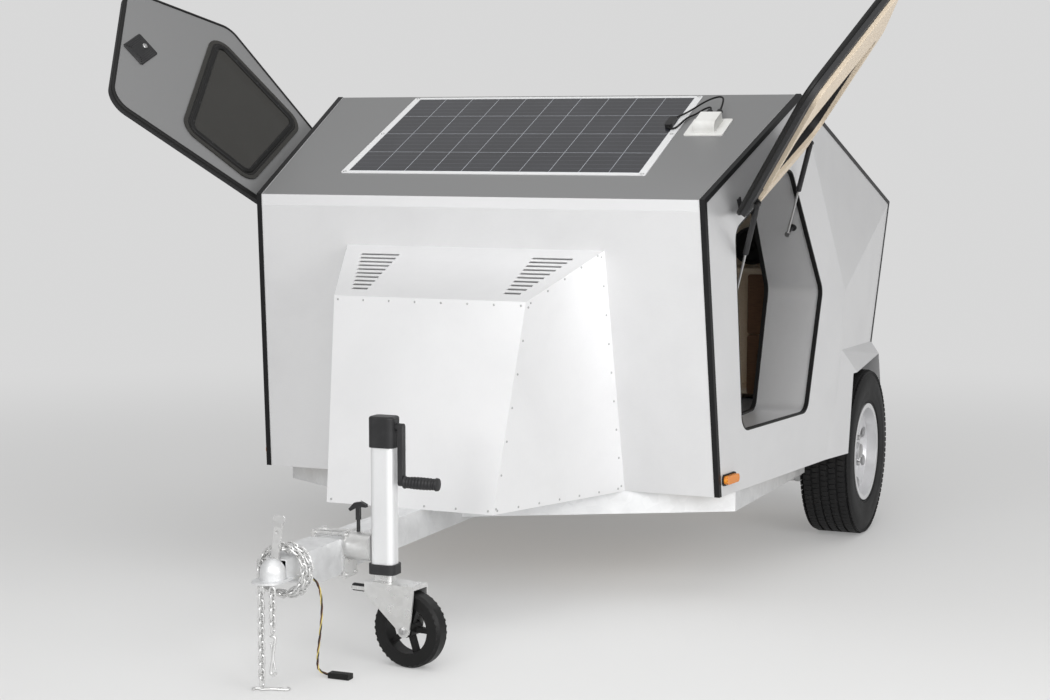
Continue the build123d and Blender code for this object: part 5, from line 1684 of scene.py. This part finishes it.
@dataclass
class Mattress:
    """Foam mattress in a woven cover, swollen by a short cloth simulation."""

    voxel: float = 0.022
    pressure: float = 4.0
    frames: int = 20
    cap: float = 0.012
    shrink: float = 0.008
    skin: float = 0.001
    corner: float = 0.022
    piping_in: float = 0.004
    piping_turn: float = 0.03
    piping_thick: float = 0.003
    piping_down: float = 0.018
    piping_up: float = 0.02

    def build(self, fittings: Fittings) -> None:
        """Swell the pad, cap it inside the CAD solid's space and add its piping.

        Args:
            fittings: Takes the pieces in.
        """
        low, high = (Vector(corner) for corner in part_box("mattress"))
        inner_low = low + Vector((self.shrink, self.shrink, self.skin))
        inner_high = high - Vector((self.shrink, self.shrink, self.shrink))
        pad = Bench.box("mattress_pad", inner_low, inner_high, self.corner, 3)
        self.swell(pad, low, high)
        Bench.take(pad)
        bpy.ops.object.shade_smooth()
        fittings.fit(pad, "mattress_cloth", replaces=["mattress"])
        piping, step, soft = [], Vector((self.piping_in, self.piping_in, 0)), self.piping_turn
        a, b = low + step, high - step
        for name, height in (("upper", high.z - self.piping_down), ("lower", low.z + self.piping_up)):
            ring = [(a.x + soft, a.y, height), (b.x - soft, a.y, height), (b.x, a.y + soft, height),
                    (b.x, b.y - soft, height), (b.x - soft, b.y, height), (a.x + soft, b.y, height),
                    (a.x, b.y - soft, height), (a.x, a.y + soft, height)]
            piping.append(Bench.bar(f"mattress_piping_{name}", ring, self.piping_thick, False, True))
        fittings.fit(Bench.joined("mattress_piping", piping), "mattress_cloth")

    def swell(self, pad: bpy.types.Object, low: Vector, high: Vector) -> None:
        """Remesh the pad, run the cloth and keep every point inside the CAD solid's space.

        Args:
            pad: The pad.
            low: Lowest corner of that space.
            high: Highest corner of it.
        """
        Bench.take(pad)
        remesh = pad.modifiers.new("voxels", "REMESH")
        remesh.mode = "VOXEL"
        remesh.voxel_size = self.voxel
        bpy.ops.object.modifier_apply(modifier=remesh.name)
        starts = [vertex.co.copy() for vertex in pad.data.vertices]
        cloth = pad.modifiers.new("cover", "CLOTH")
        cloth.settings.use_pressure = True
        cloth.settings.uniform_pressure_force = self.pressure
        cloth.settings.effector_weights.gravity = 0.0
        cloth.settings.quality = 5
        for number in range(1, self.frames + 1):
            bpy.context.scene.frame_set(number)
        bpy.ops.object.modifier_apply(modifier=cloth.name)
        bpy.context.scene.frame_set(1)
        for vertex, start in zip(pad.data.vertices, starts):
            move = vertex.co - start
            if move.length > self.cap:
                vertex.co = start + move * (self.cap / move.length)
            for axis in range(3):
                vertex.co[axis] = min(max(vertex.co[axis], low[axis] + self.skin), high[axis] - self.skin)
        finer = pad.modifiers.new("finer", "SUBSURF")
        finer.levels = 1
        bpy.ops.object.modifier_apply(modifier=finer.name)


@dataclass
class SpeakerGrilles:
    """Ribbed speaker cones behind their rims."""

    radius: float = 0.066
    from_edge: float = 0.080
    contact: float = 0.0002
    profile: tuple[tuple[float, float], ...] = (
        (1.0, 0), (1.0, 0.004), (0.94, 0.006), (0.88, 0.004), (0.8, 0.0035), (0.36, 0.0012), (0.34, 0.004),
        (0.2, 0.0075), (0.03, 0.0085),
    )

    def build(self, fittings: Fittings) -> None:
        """Turn a ribbed cone and dust cap onto each speaker.

        Args:
            fittings: Takes the pieces in.
        """
        low, high = (Vector(corner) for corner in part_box("speakers"))
        middle = (low.z + high.z) / 2
        reach = high.y - self.from_edge
        profile = [(self.radius * share, height) for share, height in self.profile]
        cone = Bench.turned("speaker_cone", profile, FOOT, UPRIGHT, 48)
        places = [Bench.facing((high.x + self.contact, side.value * reach, middle), (1, 0, 0)) for side in Side]
        fittings.fit(Bench.repeated("speaker_cones", cone, places), "rubber")


@dataclass
class CrankGrip:
    """Ribbed rubber grip on the jack's crank."""

    axis_x: float = 1.5015
    axis_z: float = 0.582
    start: float = 0.247
    length: float = 0.118
    radius: float = 0.0165
    ribs: int = 9

    def build(self, fittings: Fittings) -> None:
        """Turn the grip with its ribs and end flanges.

        Args:
            fittings: Takes the piece in.
        """
        r, body = self.radius, self.length - 0.020
        profile = [(r * 1.18, 0.002), (r * 1.22, 0.005), (r * 1.1, 0.009)]
        for i in range(self.ribs):
            foot = 0.010 + body * i / self.ribs
            swell = 1 + 0.12 * math.sin(math.pi * (i + 0.5) / self.ribs)
            pitch = body / self.ribs
            profile += [(r * swell, foot + pitch * 0.1), (r * 1.08 * swell, foot + pitch * 0.3),
                        (r * 1.08 * swell, foot + pitch * 0.7), (r * swell, foot + pitch * 0.9)]
        profile += [(r * 1.15, self.length - 0.009), (r * 1.28, self.length - 0.006), (r * 1.2, self.length + 0.001),
                    (r * 0.5, self.length + 0.003)]
        grip = Bench.turned("crank_grip", profile, (self.axis_x, self.start, self.axis_z), (0, 1, 0), 28)
        fittings.fit(grip, "jack_black")


@dataclass
class LatchSurround:
    """Moulded pan round a door's paddle latch, with its lock barrel."""

    side: Side
    centre: Point = (0.4625, 1.3897, 1.9821)
    half: tuple[float, float] = (0.062, 0.046)
    thick: float = 0.006
    rings: int = 4
    pitch: float = 0.0075
    uphill: Point = (-0.914, 0.0, 0.407)
    barrel: tuple[tuple[float, float], ...] = (
        (0.011, 0), (0.011, 0.006), (0.009, 0.008), (0.0035, 0.008), (0.003, 0.0065),
    )
    barrel_ahead: float = 0.030
    barrel_out: float = 0.003

    def build(self, fittings: Fittings, nodes: dict[str, bpy.types.Object]) -> None:
        """Lay the pan's frame on the door's outer face, in line with the hinge.

        Args:
            fittings: Takes the pieces in.
            nodes: The CAD nodes by name.
        """
        word, body = self.side.word, f"door_{self.side.word}"
        door, out = nodes[body], Outline.way_out(nodes, word)
        middle, _ = Probe(door, 0.1).hit(self.side.at(self.centre), out)
        middle = middle + out * (Outline(door, out).top - middle.dot(out))
        uphill = Vector(self.uphill)
        ahead = (uphill - out * out.dot(uphill)).normalized()
        across = out.cross(ahead)
        rails = []
        for ring in range(self.rings):
            wide, tall = (size - ring * self.pitch for size in self.half)
            for a, b, u, w in ((-1, -1, 1, 0), (-1, 1, 1, 0), (-1, -1, 0, 1), (1, -1, 0, 1)):
                start = middle + ahead * (a * wide) + across * (b * tall)
                end = start + ahead * (2 * wide * u) + across * (2 * tall * w)
                rails.append(Bench.bar(f"latch_rail_{word}", (start, end), self.thick, False, sides=3))
        frame = Bench.joined(f"latch_surround_{word}", rails)
        fittings.fit(frame, "jack_black", body)
        seat = middle + ahead * self.barrel_ahead + out * self.barrel_out
        barrel = Bench.turned(f"lock_barrel_{word}", self.barrel, seat, out, 24)
        fittings.fit(barrel, "steel", body)


@dataclass
class PanelEyelets:
    """Eyelets pressed into the solar panel's border."""

    up: tuple[float, ...] = (0.199, 0.5475, 0.896)
    across: tuple[float, ...] = (-0.605, 0.589)
    radius: float = 0.007

    def build(self, fittings: Fittings, nodes: dict[str, bpy.types.Object]) -> None:
        """Turn one eyelet and set it along both sides of the panel.

        Args:
            fittings: Takes the piece in.
            nodes: The CAD nodes by name.
        """
        out, r = Vector(ROOF_OUT), self.radius
        probe = Probe(nodes["solar_panel"], 0.1)
        profile = ((r, -0.0005), (r, 0.0006), (r * 0.8, 0.0012), (r * 0.55, 0.0008), (r * 0.5, -0.0004), (r, -0.0005))
        ring = Bench.turned("panel_eyelet", profile, FOOT, UPRIGHT, 20)
        places = []
        for up in self.up:
            for left in self.across:
                spot = Vector((ORIGIN_X - ROOF_RUN * up, left, ROOF_EDGE_Z + ROOF_RISE * up))
                places.append(Bench.facing(*probe.hit(spot, out)))
        fittings.fit(Bench.repeated("panel_eyelets", ring, places), "steel")


@dataclass
class CasterDetail:
    """Side lugs of the caster's tyre, its axle nuts and the grip on the brake lever."""

    swivel: Point = (1.5015, 0.179, 0.0)
    heading: float = 83.0
    trail: float = 0.095
    radius: float = 0.122
    half: float = 0.030
    lugs: int = 36
    lug_low: Point = (-0.0045, -0.002, -0.008)
    lug_high: Point = (0.0045, 0.0025, 0.008)
    lug_round: float = 0.0012
    lug_in: float = 0.0035
    lug_down: float = 0.013
    lug_lean: float = 20.0
    nut_out: float = 0.0432
    nut: tuple[tuple[float, float], ...] = (
        (0.0125, 0), (0.0125, 0.008), (0.0095, 0.0095), (0.007, 0.0095), (0.006, 0.013), (0.001, 0.0135),
    )
    brake_z: float = 0.232
    brake_back: float = 0.074
    grip_steps: tuple[float, ...] = (0.0, 0.020, 0.046)
    grip_thick: float = 0.0125

    def build(self, fittings: Fittings) -> None:
        """Model the lugs, nuts and lever grip.

        Args:
            fittings: Takes the pieces in.
        """
        turn = math.radians(self.heading)
        ahead, axle = Vector((math.cos(turn), math.sin(turn), 0)), Vector((-math.sin(turn), math.cos(turn), 0))
        hub = Vector(self.swivel) + ahead * self.trail + Vector((0, 0, self.radius))
        frame = Matrix.Translation(hub) @ Matrix.Rotation(turn, 4, "Z")
        lug = Bench.box("caster_lug", self.lug_low, self.lug_high, self.lug_round, 1)
        places = []
        for hand in (1, -1):
            for i in range(self.lugs):
                spin = Matrix.Rotation((i + 0.25 * hand) * 2 * math.pi / self.lugs, 4, "Y")
                lean = Matrix.Rotation(math.radians(-self.lug_lean * hand), 4, "X")
                seat = Matrix.Translation((0, hand * (self.half - self.lug_in), self.radius - self.lug_down))
                places.append(frame @ spin @ seat @ lean)
        fittings.fit(Bench.repeated("caster_lugs", lug, places), "rubber", "caster_wheel")
        nut = Bench.turned("axle_nut", self.nut, FOOT, UPRIGHT, 6, 20)
        places = [Bench.facing(hub + axle * (hand * self.nut_out), axle * hand) for hand in (1, -1)]
        fittings.fit(Bench.repeated("axle_nuts", nut, places), "steel", "caster_fork")
        start = Vector(self.swivel) - ahead * self.brake_back + Vector((0, 0, self.brake_z))
        grip = Bench.bar("brake_grip", [start - ahead * step for step in self.grip_steps], self.grip_thick, False,
                         sides=3)
        fittings.fit(grip, "jack_black", "caster_fork")


@dataclass
class CadDress:
    """Gives each CAD node the finish that its slot names."""

    finishes: Finishes
    slots: dict[str, str]
    own: dict[str, str] = field(default_factory=dict)

    def door(self, nodes: dict[str, bpy.types.Object], word: str) -> None:
        """Make a door's own sheet: its outer face in the roof's painted reflection grey, black where it turns away
        from the outer face.
        """
        sheet = DoorSheet(f"door_sheet_{word}", ROOF_PAINTED_REFLECTION_GREY, 0.4, 0.6, ROOF_MARKS_IN_PAINTED_REFLECTION, 60.0, 0.1,
                          stretch=(1.0, 6.0, 6.0), contrast=0.05, facing=tuple(Outline.way_out(nodes, word)))
        self.finishes.add(sheet)
        self.own[f"door_{word}"] = sheet.name

    def roof(self) -> None:
        """Make the front roof's own sheet: its up-facing face in the painted reflection grey, and in the body's
        colour where it is folded down over the front wall, so that the split by facing paints light and shade.
        """
        sheet = DoorSheet("roof_folded", ROOF_PAINTED_REFLECTION_GREY, 0.4, 0.6, ROOF_MARKS_IN_PAINTED_REFLECTION, 60.0, 0.1,
                          stretch=(1.0, 14.0, 1.0), contrast=0.05, facing=ROOF_OUT, edge=(0.59, 0.59, 0.595))
        self.finishes.add(sheet)
        self.own["roof_front"] = sheet.name

    def build(self, nodes: dict[str, bpy.types.Object]) -> None:
        """Assign the materials.

        Args:
            nodes: The CAD nodes by name.
        """
        for side in Side:
            self.door(nodes, side.word)
        self.roof()
        for name, node in nodes.items():
            finish = self.own.get(name) or self.slots.get(name, "body_sheet")
            if not node.data.materials:
                node.data.materials.append(None)
            for index in range(len(node.material_slots)):
                node.material_slots[index].material = self.finishes[finish]
            LOG.info("%s wears %s", name, finish)


def record_slots(record: dict[str, object]) -> dict[str, str]:
    """Find each node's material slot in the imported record.

    Args:
        record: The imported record.

    Returns:
        Slot names by node name.
    """
    found: dict[str, str] = {}
    for part in record.get("subparts", []):
        name = part.get("node") or part.get("name")
        slot = part.get("material") or part.get("material_slot") or part.get("slot")
        if name and slot:
            found[name] = slot
    return found


def main() -> None:
    """Build the camera and cords first, then the studio, the finishes and each sub-assembly."""
    logging.basicConfig(level=logging.INFO, format="%(name)s: %(message)s")
    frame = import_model()
    nodes = frame["nodes"]
    studio = Studio()
    studio.camera()
    finishes = Finishes()
    fittings = Fittings(finishes)
    TowWires().build(fittings, nodes)
    SolarLeads().build(fittings)
    studio.build()
    CadDress(finishes, record_slots(frame["record"])).build(nodes)
    NoseRivets().build(fittings, nodes)
    for side in Side:
        Tyre(side).build(fittings)
        WheelNuts(side).build(fittings, nodes)
        DoorTrim(side).build(fittings, nodes)
        LatchSurround(side).build(fittings, nodes)
    PanelEyelets().build(fittings, nodes)
    CasterDetail().build(fittings)
    Chain().build(fittings)
    CrankGrip().build(fittings)
    Mattress().build(fittings)
    SpeakerGrilles().build(fittings)
    bpy.context.view_layer.update()


if __name__ == "__main__":
    main()
